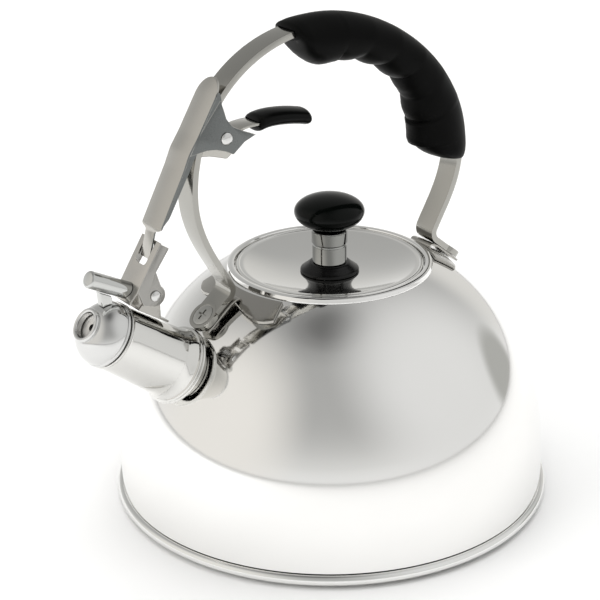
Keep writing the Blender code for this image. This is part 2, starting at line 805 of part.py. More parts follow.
def make_cap_post():
    """A channel on the sleeve, whose two ears carry the cap's rivet."""
    lift = SEAM + 0.0006
    top = lift + POST_SHEET
    foot = [sleeve_top(POST_FRONT, lift), sleeve_top(POST_REAR, lift)]
    shoulder = top - POST_SHOULDER
    toe = [sleeve_top(POST_REAR, shoulder), sleeve_top(POST_REAR - POST_TOE, shoulder)]
    head = circle_points(CAP_PIVOT[0], CAP_PIVOT[1], 0.0036, -20, 200, 8)
    outline = foot + toe + head + [sleeve_top(POST_FRONT, shoulder)]
    half = POST_WIDTH / 2
    post = extruded("cap_post", outline, -half, half, BRUSHED)
    gap = [
        sleeve_top(POST_FRONT - 0.0140, top),
        sleeve_top(POST_REAR + 0.0140, top),
        (CAP_PIVOT[0] + 0.030, CAP_PIVOT[1] + 0.020),
        (CAP_PIVOT[0] - 0.030, CAP_PIVOT[1] + 0.020),
    ]
    inner = half - POST_SHEET
    boolean(post, extruded("post_gap_cutter", gap, -inner, inner), "DIFFERENCE")
    boolean(post, cross_pin("post_rivet_cutter", CAP_PIVOT, RIVET_RADIUS + SEAM, POST_WIDTH), "DIFFERENCE")
    under = turned(
        "post_sleeve_cutter",
        [
            (0, 0.006),
            (sleeve_radius(0) + SEAM, 0.006),
            (sleeve_radius(0) + 0.0006 + SEAM, 0.0),
            (sleeve_radius(0) + 0.0006 + SEAM, -0.0014 - SEAM),
            (sleeve_radius(0.0019) + SEAM, -0.0019 - SEAM),
            (sleeve_radius(0.0400) + SEAM, -0.0400),
            (0, -0.0400),
        ],
        matrix=spout_frame(),
    )
    boolean(post, under, "DIFFERENCE")
    rivet("cap_rivet", CAP_PIVOT, LEVER_WIDTH / 2, RIVET_HEAD)


def make_cap_spring():
    """A closed coil round the rivet, between the post's ears, with two straight legs."""
    wire = 0.0005
    radius = RIVET_RADIUS + SEAM + wire + 0.0003
    turns = 5
    half = POST_WIDTH / 2 - POST_SHEET - SEAM - wire
    pitch = 2 * half / turns
    pivot = CAP_PIVOT
    centre = []
    per_turn = 12
    for i in range(turns * per_turn + 1):
        angle = math.tau * i / per_turn
        y = -half + pitch * i / per_turn
        centre.append(Vector((pivot[0] + radius * math.cos(angle), y, pivot[1] + radius * math.sin(angle))))
    down = Vector((0.25, 0, -1)).normalized()
    up = Vector((-0.35, 0, 1)).normalized()
    path = [centre[0] + down * 0.0042, centre[0] + down * 0.0018] + centre
    path += [centre[-1] + up * 0.0022, centre[-1] + up * 0.0060]
    rings = []
    for i, point in enumerate(path):
        tangent = (path[min(i + 1, len(path) - 1)] - path[max(i - 1, 0)]).normalized()
        across = tangent.cross(Vector((0, 1, 0)))
        if across.length < 1e-6:
            across = Vector((1, 0, 0))
        across.normalize()
        other = tangent.cross(across)
        rings.append(
            [
                point + (across * math.cos(a) + other * math.sin(a)) * wire
                for a in (math.tau * k / 6 for k in range(6))
            ]
        )
    lofted("cap_spring", rings, STEEL)


def make_thumb_bar():
    """A round bar for opening the cap by hand, on a lug that stands on the cap."""
    start = Vector((LEVER_FOOT[0] + 0.0002, 0, LEVER_FOOT[1] - 0.0014))
    frame = Matrix.Translation(start) @ Matrix.Rotation(BAR_PITCH - math.pi / 2, 4, "Y")
    dome = [
        (BAR_RADIUS * math.cos(a), BAR_LENGTH - 0.0020 + 0.0020 * math.sin(a))
        for a in (math.radians(22.5 * i) for i in range(5))
    ]
    dome[-1] = (0, BAR_LENGTH)
    bar = turned(
        "thumb_bar", [(0, 0.0010), (BAR_RADIUS, 0.0010)] + dome, CHROME, matrix=frame, steps=20
    )
    behind = offset_line(lever_line(), -LEVER_SHEET / 2 - SEAM)
    behind += [(LEVER_FOOT[0] + 0.020, behind[-1][1]), (LEVER_TOP[0] + 0.020, LEVER_TOP[1])]
    boolean(bar, extruded("bar_lever_cutter", behind, -LEVER_WIDTH, LEVER_WIDTH), "DIFFERENCE")
    tip = frame @ Vector((-BAR_RADIUS - SEAM, 0, BAR_LENGTH * 0.66))
    root = frame @ Vector((-BAR_RADIUS - SEAM, 0, BAR_LENGTH * 0.40))
    lug = [(tip.x, tip.z), (root.x, root.z)]
    lug += [spout_point(0.0066, CAP_RADIUS - 0.0030), spout_point(0.0110, CAP_RADIUS - 0.0062)]
    piece = extruded("bar_lug", lug, -LUG_WIDTH / 2, LUG_WIDTH / 2, CHROME)
    skin = [(radius + SEAM, height + SEAM) for radius, height in cap_profile()]
    skin = [(0, skin[0][1])] + skin + [(0, skin[-1][1])]
    boolean(piece, turned("lug_cap_cutter", skin, matrix=spout_frame()), "DIFFERENCE")


# ---------------------------------------------------------------- handle


def foot_point(side, out, rise):
    """(x, z) at a foot: out along the dome's slope from the screw, and rise off the dome."""
    slope = dome_slope(FOOT_RADIUS)
    x = FOOT_RADIUS + out * math.cos(slope) + rise * math.sin(slope)
    z = dome_z(FOOT_RADIUS) - out * math.sin(slope) + rise * math.cos(slope)
    return side * x, z


def foot_frame(side):
    """Z stands off the dome at the foot's screw, and X runs down the slope."""
    x, z = foot_point(side, 0.0, 0.0)
    turn = Matrix.Rotation(side * dome_slope(FOOT_RADIUS), 4, "Y")
    flip = Matrix.Rotation(0 if side > 0 else math.pi, 4, "Z")
    return Matrix.Translation((x, 0, z)) @ turn @ flip


NUT_TOP = NUT_CLEARANCE + NUT_THICKNESS
TAB_BOTTOM = NUT_TOP + SEAM
TAB_TOP = TAB_BOTTOM + BRACKET_SHEET
STRIP_BOTTOM = TAB_TOP + SEAM
STRIP_TOP = STRIP_BOTTOM + STRIP_THICKNESS


FOOT_Z = dome_z(FOOT_RADIUS)
FRONT_WAIST = (-FOOT_RADIUS - FRONT_WAIST_OUT, FOOT_Z + FRONT_WAIST_RISE)
REAR_WAIST = (FOOT_RADIUS + REAR_WAIST_OUT, FOOT_Z + REAR_WAIST_RISE)
CROWN = (CROWN_X, FOOT_Z + CROWN_RISE)


def leg_line(side):
    """The strip's middle line from just past the screw up to the waist, on one side."""
    slope = dome_slope(FOOT_RADIUS)
    middle = (STRIP_BOTTOM + STRIP_TOP) / 2
    start = foot_point(1, 0.0013, middle)
    bend = foot_point(1, -FOOT_FLAT, middle)
    heading = math.pi - slope
    centre = (bend[0] + BEND_RADIUS * math.sin(heading), bend[1] - BEND_RADIUS * math.cos(heading))
    first = math.degrees(heading) + 90
    last = math.degrees(LEG_ANGLE) + 90
    arc = circle_points(centre[0], centre[1], BEND_RADIUS, first, last, 7)
    waist = FRONT_WAIST if side < 0 else REAR_WAIST
    waist = (abs(waist[0]), waist[1])
    end = arc[-1]
    lower = (end[0] + 0.014 * math.cos(LEG_ANGLE), end[1] + 0.014 * math.sin(LEG_ANGLE))
    leg = bezier(end, lower, (waist[0], waist[1] - 0.020), waist, 7)
    return [(side * x, z) for x, z in [start] + arc + leg]


def front_crown():
    """The strip's middle line from just past the front waist up to the crown."""
    rise = (CROWN[1] - FRONT_WAIST[1]) * FRONT_FULLNESS
    run = (CROWN[0] - FRONT_WAIST[0]) * FRONT_FULLNESS
    return bezier(
        FRONT_WAIST,
        (FRONT_WAIST[0], FRONT_WAIST[1] + rise),
        (CROWN[0] - run, CROWN[1]),
        CROWN,
        12,
    )


def rear_crown():
    """The strip's middle line from just past the crown down to the rear waist."""
    rise = (CROWN[1] - REAR_WAIST[1]) * REAR_FULLNESS
    run = (REAR_WAIST[0] - CROWN[0]) * REAR_FULLNESS
    return bezier(
        CROWN,
        (CROWN[0] + run, CROWN[1]),
        (REAR_WAIST[0], REAR_WAIST[1] + rise),
        REAR_WAIST,
        12,
    )


def handle_line():
    return leg_line(-1) + front_crown() + rear_crown() + leg_line(1)[::-1][1:]


def foot_screw_profile(clearance):
    """Countersunk screw, in the foot's frame, grown by this clearance."""
    top = STRIP_TOP + 0.0004
    rim = top - 0.0004
    neck = rim - SCREW_HEAD_DEPTH
    tip = NUT_CLEARANCE if clearance else NUT_CLEARANCE + 0.0001
    head = SCREW_HEAD_RADIUS + clearance
    shank = SCREW_RADIUS + clearance
    drop = 0.002 if clearance else 0.0
    crown = [(head, rim)]
    if not clearance:
        crown = [(head - 0.0016, top), (head - 0.0004, top - 0.0001)] + crown
    lid = [(0, top + drop), (head, top + drop)] if clearance else [(0, top)]
    return lid + crown + [(shank, neck), (shank, tip - drop), (0, tip - drop)]


def make_handle_strip():
    half = STRIP_WIDTH / 2
    strip = extruded("handle_strip", strip_outline(handle_line(), STRIP_THICKNESS), -half, half, BRUSHED)
    for number, side in enumerate((-1, 1)):
        low = STRIP_BOTTOM + PAD_PROUD
        high = STRIP_TOP + PAD_PROUD
        pad = turned(
            f"foot_pad_{number}",
            [(0, low), (0, high), (FOOT_PAD, high), (FOOT_PAD, low)],
            matrix=foot_frame(side),
        )
        boolean(strip, pad, "UNION")
    for number, side in enumerate((-1, 1)):
        sink = foot_screw_profile(SEAM)
        hole = turned(f"foot_hole_cutter_{number}", sink, matrix=foot_frame(side), steps=SMALL)
        boolean(strip, hole, "DIFFERENCE")


def make_foot_fastening(name, side):
    profile = foot_screw_profile(0.0)
    screw = turned(f"{name}_foot_screw", profile, STEEL, matrix=foot_frame(side), steps=SMALL)
    top = STRIP_TOP + 0.0004
    for number, (length, width) in enumerate(((CROSS_REACH, CROSS_WIDTH), (CROSS_WIDTH, CROSS_REACH))):
        low = top - CROSS_DEPTH
        high = top + 0.001
        block = [(-length / 2, low), (length / 2, low), (length / 2, high), (-length / 2, high)]
        slot = extruded(f"{name}_cross_cutter_{number}", block, -width / 2, width / 2, matrix=foot_frame(side))
        boolean(screw, slot, "DIFFERENCE")
    bore = SCREW_RADIUS + SEAM
    turned(
        f"{name}_foot_nut",
        [(bore, NUT_CLEARANCE), (bore, NUT_TOP), (NUT_RADIUS, NUT_TOP), (NUT_RADIUS, NUT_CLEARANCE)],
        STEEL,
        matrix=foot_frame(side),
        steps=SMALL,
    )


def make_bracket(name, side):
    """A crescent flange on the dome by the lid, whose tab rises and runs out under the foot."""
    inner = RING_OUTER + FLANGE_GAP
    columns = 14
    rows = 3

    def shell_point(radius, angle, depth):
        slope = dome_slope(radius)
        out = radius + depth * math.sin(slope)
        height = dome_z(radius) + depth * math.cos(slope)
        return (side * out * math.cos(angle), out * math.sin(angle), height)

    rings = []
    for i in range(columns + 1):
        share = 2 * i / columns - 1
        angle = FLANGE_SPREAD * share
        wing = min(abs(share) / WING_SHARE, 1.0)
        reach = FLANGE_MIDDLE + (FLANGE_WING - FLANGE_MIDDLE) * wing * wing * (3 - 2 * wing)
        reach -= FLANGE_CORNER * max(0.0, (abs(share) - WING_SHARE) / (1 - WING_SHARE)) ** 2
        edge = [inner + reach * k / rows for k in range(rows + 1)]
        lower = [shell_point(radius, angle, SEAM) for radius in edge]
        upper = [shell_point(radius, angle, SEAM + BRACKET_SHEET) for radius in reversed(edge)]
        rings.append(lower + upper)
    bracket = lofted(f"{name}_bracket", rings, BRUSHED)
    half = BRACKET_WIDTH / 2
    middle = (TAB_BOTTOM + TAB_TOP) / 2
    root = inner + FLANGE_MIDDLE - 0.0020
    slope = dome_slope(root)
    lift = SEAM + BRACKET_SHEET / 2 + 0.00015
    start = (root + lift * math.sin(slope), dome_z(root) + lift * math.cos(slope))
    hump_out = -FOOT_FLAT + 0.0035
    hump = foot_point(1, hump_out, middle)
    steep = (start[0] + 0.0006, start[1] + BRACKET_HUMP)
    level = (hump[0] - 0.0014, hump[1] + 0.0012)
    rise = bezier(start, steep, level, hump, 5)
    line = [start] + rise + [foot_point(1, out, middle) for out in (-0.0050, 0.0, FOOT_PAD - 0.0022)]
    outline = [(side * x, z) for x, z in strip_outline(line, BRACKET_SHEET)]
    boolean(bracket, extruded(f"{name}_tab", outline, -half, half), "UNION")
    bore = SCREW_RADIUS + SEAM
    hole = turned(
        f"{name}_tab_cutter",
        [(0, TAB_BOTTOM - 0.001), (0, TAB_TOP + 0.001), (bore, TAB_TOP + 0.001), (bore, TAB_BOTTOM - 0.001)],
        matrix=foot_frame(side),
        steps=SMALL,
    )
    boolean(bracket, hole, "DIFFERENCE")


# ---------------------------------------------------------------- grip


def eased(share, span):
    """A quarter-round rise from 0 to 1 over this span."""
    return math.sqrt(1 - (1 - min(max(share, 0.0) / span, 1.0)) ** 2)


def grip_depth(share):
    """How far the grip reaches inward from the strip, from its front end (0) to its rear end (1)."""
    ends = eased(share - 0.012, 0.13) * eased(1 - share, 0.13)
    waved = 0.18 < share < 0.78
    bumps = GRIP_BUMP
    if waved:
        bumps *= abs(math.sin(GRIP_BUMPS * math.pi * (share - 0.18) / 0.60)) ** 0.7
    lobe = GRIP_REAR_LOBE * max(0.0, (share - 0.62) / 0.38) ** 0.8
    waist = 0.0030 * math.sin(math.pi * min(1.0, max(0.0, (share - 0.10) / 0.60)))
    full = GRIP_DEPTH + lobe - waist + bumps - GRIP_BUMP
    return GRIP_SKIN + (full - GRIP_SKIN) * ends


def grip_stations(count):
    """(share, point, outward direction) along the strip's line, where the grip is."""
    below = (REAR_WAIST[0] - 0.0018, REAR_WAIST[1] - 2 * GRIP_PAST_WAIST)
    line = [FRONT_WAIST] + front_crown() + rear_crown() + [below]
    lengths = [0.0]
    for (x0, z0), (x1, z1) in zip(line, line[1:]):
        lengths.append(lengths[-1] + math.hypot(x1 - x0, z1 - z0))
    last = lengths[-2] + GRIP_PAST_WAIST
    stations = []
    for i in range(count + 1):
        even = i / count
        # stations crowd towards the two rounded ends
        share = even - 0.20 * math.sin(math.tau * even) / math.tau
        reach = GRIP_FRONT + (last - GRIP_FRONT) * share
        k = max(j for j in range(len(lengths) - 1) if lengths[j] <= reach)
        t = (reach - lengths[k]) / (lengths[k + 1] - lengths[k])
        x = line[k][0] + (line[k + 1][0] - line[k][0]) * t
        z = line[k][1] + (line[k + 1][1] - line[k][1]) * t
        near = max(k - 1, 0)
        far = min(k + 2, len(line) - 1)
        dx = line[far][0] - line[near][0]
        dz = line[far][1] - line[near][1]
        length = math.hypot(dx, dz)
        stations.append((share, (x, z), (-dz / length, dx / length)))
    return stations


def make_grip():
    rings = []
    around = 18
    for share, (x, z), (nx, nz) in grip_stations(36):
        end = min(share / 0.06, (1 - share) / 0.06, 1.0)
        rounding = math.sqrt(max(0.0, 1 - (1 - end) ** 2))
        outer = 0.0030 + (GRIP_OUTER - 0.0030) * rounding
        inner = grip_depth(share)
        width = 0.0080 + (GRIP_HALF_WIDTH - 0.0080) * rounding
        half = (outer + inner) / 2
        shift = (outer - inner) / 2
        ring = []
        for k in range(around):
            angle = math.tau * k / around
            c, s = math.cos(angle), math.sin(angle)
            radial = shift + half * math.copysign(abs(c) ** 0.85, c)
            across = width * math.copysign(abs(s) ** 0.85, s)
            ring.append((x + nx * radial, across, z + nz * radial))
        rings.append(ring)
    grip = lofted("handle_grip", rings, BLACK_SOFT)
    wide = STRIP_WIDTH / 2 + SEAM
    passage = strip_outline(handle_line(), STRIP_THICKNESS + 2 * SEAM)
    boolean(grip, extruded("grip_passage_cutter", passage, -wide, wide), "DIFFERENCE")


# ---------------------------------------------------------------- trigger

TRIGGER_PIVOT = (FRONT_WAIST[0] + TRIGGER_PIVOT_IN, FRONT_WAIST[1] + TRIGGER_PIVOT_RISE)


def near_pivot(x, z):
    """(x, z) this far from the trigger's pivot."""
    return TRIGGER_PIVOT[0] + x, TRIGGER_PIVOT[1] + z


ARM_TOP = near_pivot(-0.0008, 0.0274)
ARM_KNEE = (FRONT_WAIST[0] - 0.0036, FRONT_WAIST[1] + 0.0223)
TONGUE_GAP = 0.0003
TONGUE_PITCH = math.radians(75)
BRIDGE = lever_point(SLOT_START / 2, -(LEVER_SHEET + ARM_SHEET) / 2 - TONGUE_GAP)


def tongue_point(up):
    """(x, z) on the tongue, this far above the bridge over the lever's slot."""
    return BRIDGE[0] + up * math.cos(TONGUE_PITCH), BRIDGE[1] + up * math.sin(TONGUE_PITCH)


def make_trigger_channel():
    """One pressing: the long arm, its two cheeks and the narrow tongue that works the cap lever."""
    half = ARM_WIDTH / 2
    knee = [
        (ARM_KNEE[0] + 0.0052, ARM_KNEE[1] + 0.0068),
        (ARM_KNEE[0] + 0.0003, ARM_KNEE[1] - 0.0003),
        (ARM_KNEE[0] - 0.0030, ARM_KNEE[1] - 0.0078),
    ]
    shoulder = tongue_point(TONGUE_SHOULDER)
    tip = tongue_point(-TONGUE_REACH)
    line = [ARM_TOP] + knee + [shoulder, tip]
    arm = extruded("trigger_channel", strip_outline(line, ARM_SHEET), -half, half, BRUSHED)
    plan = [(-TONGUE_WIDTH / 2, tip[1] - 0.003), (TONGUE_WIDTH / 2, tip[1] - 0.003)]
    plan += [(TONGUE_WIDTH / 2, shoulder[1] - 0.0008), (half, shoulder[1] + 0.0012)]
    plan += circle_points(0, ARM_TOP[1] - half, half, 0, 180, 10)
    plan += [(-half, shoulder[1] + 0.0012), (-TONGUE_WIDTH / 2, shoulder[1] - 0.0008)]
    turn = Matrix.Rotation(math.pi / 2, 4, "Z")
    boolean(arm, extruded("arm_plan", plan, 0.030, 0.130, matrix=turn), "INTERSECT")
    cheek = [
        near_pivot(-0.0027, 0.0186),
        near_pivot(-0.0010, 0.0136),
        near_pivot(0.0003, 0.0091),
        near_pivot(0.0035, 0.0051),
        near_pivot(0.0093, 0.0019),
        near_pivot(0.0161, -0.0011),
        near_pivot(0.0098, -0.0034),
        near_pivot(0.0035, -0.0083),
        near_pivot(-0.0007, -0.0061),
        near_pivot(-0.0057, -0.0043),
        near_pivot(-0.0107, -0.0037),
        (ARM_KNEE[0] + 0.0006, ARM_KNEE[1] - 0.0010),
        (ARM_KNEE[0] + 0.0052, ARM_KNEE[1] + 0.0068),
    ]
    for number, side in enumerate((-1, 1)):
        low, high = sorted((side * half, side * (half - CHEEK_SHEET)))
        boolean(arm, extruded(f"trigger_cheek_{number}", cheek, low, high), "UNION")
    pin = cross_pin("trigger_rivet_cutter", TRIGGER_PIVOT, RIVET_RADIUS + RUNNING, ARM_WIDTH)
    boolean(arm, pin, "DIFFERENCE")
    rivet("trigger_rivet", TRIGGER_PIVOT, half, TRIGGER_RIVET_HEAD)


def thumb_line():
    start = near_pivot(0.0063, 0.0006)
    bends = (near_pivot(0.0143, 0.0051), near_pivot(0.0293, 0.0006))
    return [start] + bezier(start, *bends, near_pivot(0.0493, 0.0006), 8)


def make_thumb_lever():
    half = THUMB_WIDTH / 2
    extruded("thumb_lever", strip_outline(thumb_line(), THUMB_SHEET), -half, half, BRUSHED)
    line = thumb_line()[3:]
    rings = []
    around = 12
    last = len(line) - 1
    for i, (x, z) in enumerate(line + [(line[-1][0] + 0.0030, line[-1][1] - 0.0016)]):
        x0, z0 = line[max(min(i, last) - 1, 0)]
        x1, z1 = line[min(i + 1, last)]
        if i >= last:
            x0, z0 = line[last - 1]
            x1, z1 = line[last]
        length = math.hypot(x1 - x0, z1 - z0)
        nx, nz = -(z1 - z0) / length, (x1 - x0) / length
        end = (0.80, 1.0, 1.0, 1.0, 1.0, 0.94, 0.55)[min(i, 6)]
        ring = []
        for k in range(around):
            angle = math.tau * k / around
            c, s = math.cos(angle), math.sin(angle)
            radial = PAD_THICKNESS / 2 * end * math.copysign(abs(c) ** 0.7, c) + 0.0004
            across = PAD_WIDTH / 2 * (0.5 + 0.5 * end) * math.copysign(abs(s) ** 0.7, s)
            ring.append((x + nx * radial, across, z + nz * radial))
        rings.append(ring)
    pad = lofted("thumb_pad", rings, BLACK_SOFT)
    wide = half + SEAM
    passage = strip_outline(thumb_line(), THUMB_SHEET + 2 * SEAM)
    boolean(pad, extruded("pad_passage_cutter", passage, -wide, wide), "DIFFERENCE")


def make_trigger_hanger():
    """A block bracket welded under the handle strip, between the cheeks, that holds the rivet."""
    half = HANGER_WIDTH / 2
    outline = [
        near_pivot(-0.0267, -0.0049),
        near_pivot(-0.0082, -0.0074),
        near_pivot(-0.0027, -0.0091),
        near_pivot(0.0011, -0.0103),
        near_pivot(0.0048, -0.0077),
        near_pivot(0.0045, -0.0005),
        near_pivot(0.0036, 0.0034),
        near_pivot(-0.0007, 0.0061),
        near_pivot(-0.0167, 0.0101),
    ]
    hanger = extruded("trigger_hanger", outline, -half, half, BRUSHED)
    wide = STRIP_WIDTH / 2 + SEAM
    below = (FRONT_WAIST[0], FRONT_WAIST[1] - 0.020)
    strip = [below, FRONT_WAIST] + front_crown()
    over = offset_line(strip, STRIP_THICKNESS / 2 + 0.030)
    under = offset_line(strip, -STRIP_THICKNESS / 2 - SEAM)
    boolean(hanger, extruded("hanger_strip_cutter", over + under[::-1], -wide, wide), "DIFFERENCE")
    pin = cross_pin("hanger_rivet_cutter", TRIGGER_PIVOT, RIVET_RADIUS + SEAM, HANGER_WIDTH)
    boolean(hanger, pin, "DIFFERENCE")


# ---------------------------------------------------------------- moving groups


def carry(name, point, members):
    """Parent these pieces to an empty on their joint's axis."""
    empty = bpy.data.objects.new(name, None)
    bpy.context.scene.collection.objects.link(empty)
    empty.location = point
    bpy.context.view_layer.update()
    for member in members:
        piece = bpy.data.objects[member]
        piece.parent = empty
        piece.matrix_parent_inverse = empty.matrix_world.inverted()


def main():
    clear_scene()
    make_base()
    make_body()
    make_opening_ring()
    make_lid()
    make_knob()
    make_spout()
    make_cap()
    make_cap_lever()
    make_cap_post()
    make_cap_spring()
    make_thumb_bar()
    make_handle_strip()
    for name, side in (("front", -1), ("rear", 1)):
        make_bracket(name, side)
        make_foot_fastening(name, side)
    make_grip()
    make_trigger_channel()
    make_thumb_lever()
    make_trigger_hanger()
    carry(
        "trigger_axis",
        (TRIGGER_PIVOT[0], 0, TRIGGER_PIVOT[1]),
        ("trigger_channel", "thumb_lever", "thumb_pad"),
    )
    carry(
        "cap_axis",
        (CAP_PIVOT[0], 0, CAP_PIVOT[1]),
        (
            "cap_lever",
            "cap_dome",
            "whistle_front_plate",
            "whistle_rear_plate",
            "cap_seal",
            "thumb_bar",
            "bar_lug",
        ),
    )
    carry(
        "lid_axis",
        (0, 0, SEAT_TOP),
        (
            "lid",
            "lid_plug_ring",
            "heat_collar",
            "knob_ferrule",
            "knob",
            "knob_insert",
            "knob_washer",
            "knob_screw",
        ),
    )


main()
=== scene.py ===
"""Stovetop whistling kettle: its looks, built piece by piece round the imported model."""

import math

import bpy
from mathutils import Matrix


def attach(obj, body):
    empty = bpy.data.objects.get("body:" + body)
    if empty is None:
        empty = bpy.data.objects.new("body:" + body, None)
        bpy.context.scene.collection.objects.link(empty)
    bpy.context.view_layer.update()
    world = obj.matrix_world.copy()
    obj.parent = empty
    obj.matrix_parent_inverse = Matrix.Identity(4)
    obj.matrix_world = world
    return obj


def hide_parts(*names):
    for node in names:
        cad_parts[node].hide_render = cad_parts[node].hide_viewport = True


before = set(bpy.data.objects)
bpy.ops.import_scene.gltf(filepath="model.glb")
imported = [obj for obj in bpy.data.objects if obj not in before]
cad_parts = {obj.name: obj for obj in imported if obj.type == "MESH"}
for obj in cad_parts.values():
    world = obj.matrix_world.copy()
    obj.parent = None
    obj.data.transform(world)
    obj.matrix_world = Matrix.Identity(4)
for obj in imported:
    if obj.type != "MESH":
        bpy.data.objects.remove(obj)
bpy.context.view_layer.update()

# ---------------------------------------------------------------- the studio
# A long lens looks down on the kettle from its front left. It stands on a white floor, under a soft
# overhead box and one at its left. The polished dome mirrors pale walls and a dark ceiling.

camera_data = bpy.data.cameras.new("camera")
camera_data.lens = 107.3
camera_data.sensor_width = 36.0
camera_data.clip_end = 50.0
camera = bpy.data.objects.new("camera", camera_data)
bpy.context.scene.collection.objects.link(camera)
camera.location = (-0.48430, -0.66072, 0.44760)
camera.rotation_euler = (math.radians(66.983), math.radians(0.703), math.radians(-35.5))
camera.rotation_mode = "XYZ"
bpy.context.scene.camera = camera

bpy.ops.object.select_all(action="DESELECT")
bpy.ops.mesh.primitive_plane_add(size=9.0, location=(0, 0, -0.0002))
floor = bpy.context.object
floor.name = "studio_floor"


def add_node(tree, kind, values=(), **settings):
    """Add a shader node, with its settings and then its (socket, value) pairs."""
    made = tree.nodes.new(kind)
    for setting, value in settings.items():
        setattr(made, setting, value)
    for socket, value in values:
        made.inputs[socket].default_value = value
    return made


def wire(tree, source, output, target, entry):
    """Link one node's output to another's input."""
    tree.links.new(source.outputs[output], target.inputs[entry])


floor_paint = bpy.data.materials.new("studio_floor_paint")
floor_paint.use_nodes = True
tree = floor_paint.node_tree
shader = tree.nodes["Principled BSDF"]
shader.inputs["Roughness"].default_value = 0.9
shader.inputs["Specular IOR Level"].default_value = 0.1
place = add_node(tree, "ShaderNodeTexCoord")
mottle = add_node(tree, "ShaderNodeTexNoise", [("Scale", 9.0)])
paints = [("A", (0.90, 0.90, 0.90, 1)), ("B", (0.93, 0.93, 0.93, 1))]
tint = add_node(tree, "ShaderNodeMix", paints, data_type="RGBA")
wire(tree, place, "Object", mottle, "Vector")
wire(tree, mottle, "Fac", tint, "Factor")
wire(tree, tint, "Result", shader, "Base Color")
floor.data.materials.append(floor_paint)

scene = bpy.context.scene
scene.view_settings.view_transform = "Standard"
scene.view_settings.look = "None"
studio = bpy.data.worlds.new("studio")
scene.world = studio
studio.use_nodes = True
tree = studio.node_tree
tree.nodes.clear()

# the walls are pale at the horizon, fall to a mid grey above it, and the ceiling is dark
sight = add_node(tree, "ShaderNodeTexCoord")
parts = add_node(tree, "ShaderNodeSeparateXYZ")
wire(tree, sight, "Generated", parts, "Vector")
height = add_node(tree, "ShaderNodeMapRange", [("From Min", -0.2), ("From Max", 1.0)])
wire(tree, parts, "Z", height, "Value")
sweep = add_node(tree, "ShaderNodeValToRGB")
stops = sweep.color_ramp
stops.interpolation = "B_SPLINE"
stops.elements[0].position = 0.17
stops.elements[0].color = (0.83, 0.83, 0.82, 1)
stops.elements[1].position = 0.215
stops.elements[1].color = (0.79, 0.79, 0.78, 1)
for position, grey in (
    (0.26, 0.73),
    (0.38, 0.58),
    (0.52, 0.47),
    (0.65, 0.44),
    (0.90, 0.43),
    (0.955, 0.36),
    (0.985, 0.22),
    (1.0, 0.15),
):
    stop = stops.elements.new(position)
    stop.color = (grey, grey, grey * 0.98, 1)
wire(tree, height, "Result", sweep, "Fac")
# four broad patches: a lift to the right and to the left, a shade behind, and a darker strip at the right
last, output = sweep, "Color"
for direction, low, high, light in (
    ((0.60, -0.61, 0.52), 0.45, 0.98, (0.78, 0.78, 0.77, 1)),
    ((-0.92, 0.26, 0.30), 0.55, 0.98, (0.86, 0.84, 0.80, 1)),
    ((0.80, 0.55, 0.10), 0.86, 0.99, (0.72, 0.71, 0.68, 1)),
    ((0.99, -0.08, 0.08), 0.955, 0.985, (0.44, 0.44, 0.42, 1)),
):
    facing = add_node(tree, "ShaderNodeVectorMath", operation="DOT_PRODUCT")
    facing.inputs[1].default_value = direction
    wire(tree, sight, "Generated", facing, 0)
    limits = [("From Min", low), ("From Max", high)]
    spread = add_node(tree, "ShaderNodeMapRange", limits, interpolation_type="SMOOTHSTEP")
    wire(tree, facing, "Value", spread, "Value")
    lift = add_node(tree, "ShaderNodeMix", [("B", light)], data_type="RGBA")
    wire(tree, spread, "Result", lift, "Factor")
    wire(tree, last, output, lift, "A")
    last, output = lift, "Result"
backdrop = add_node(tree, "ShaderNodeBackground")
wire(tree, last, output, backdrop, "Color")
world_out = add_node(tree, "ShaderNodeOutputWorld")
wire(tree, backdrop, "Background", world_out, "Surface")

for name, place, turn, size, power in (
    ("overhead_box", (0.45, 0.60, 1.9), (0, 0, 0), 2.6, 37.0),
    ("left_box", (-1.30, 0.10, 0.9), (0, math.radians(-58), 0), 0.9, 6.0),
):
    lamp_data = bpy.data.lights.new(name, "AREA")
    lamp_data.shape = "SQUARE"
    lamp_data.size = size
    lamp_data.energy = power
    lamp = bpy.data.objects.new(name, lamp_data)
    lamp.location = place
    lamp.rotation_euler = turn
    lamp.visible_glossy = False
    scene.collection.objects.link(lamp)

# ---------------------------------------------------------------- base
# The flat bottom carries an aluminium heat disc between two steel sheets. The pan's edge is rolled
# into a bright bead that the dome's wall stands on.


MERGE = 1e-6
SEED = 0.0001


def merge_points():
    """Merge the doubled points of the mesh being edited."""
    bpy.ops.mesh.select_all(action="SELECT")
    bpy.ops.mesh.remove_doubles(threshold=MERGE)


def close_up():
    """Turn every face outward and leave edit mode."""
    bpy.ops.mesh.select_all(action="SELECT")
    bpy.ops.mesh.normals_make_consistent(inside=False)
    bpy.ops.object.mode_set(mode="OBJECT")


def pick(piece):
    """Make this the one selected piece, and the active one."""
    bpy.ops.object.select_all(action="DESELECT")
    piece.select_set(True)
    bpy.context.view_layer.objects.active = piece


def trace(name, line, closed=True):
    """Draw a line of (x, z) points, starting from a small plane merged to one corner."""
    bpy.ops.object.select_all(action="DESELECT")
    bpy.ops.mesh.primitive_plane_add(size=SEED, location=(line[0][0], 0, line[0][1]))
    bpy.ops.object.transform_apply(location=True, rotation=True, scale=True)
    piece = bpy.context.object
    piece.name = name
    bpy.ops.object.mode_set(mode="EDIT")
    bpy.ops.mesh.select_all(action="SELECT")
    bpy.ops.mesh.merge(type="CENTER")
    ends = line[1:] + line[:1] if closed else line[1:]
    for (x0, z0), (x1, z1) in zip(line, ends):
        bpy.ops.mesh.extrude_region_move(TRANSFORM_OT_translate={"value": (x1 - x0, 0, z1 - z0)})
    merge_points()
    return piece


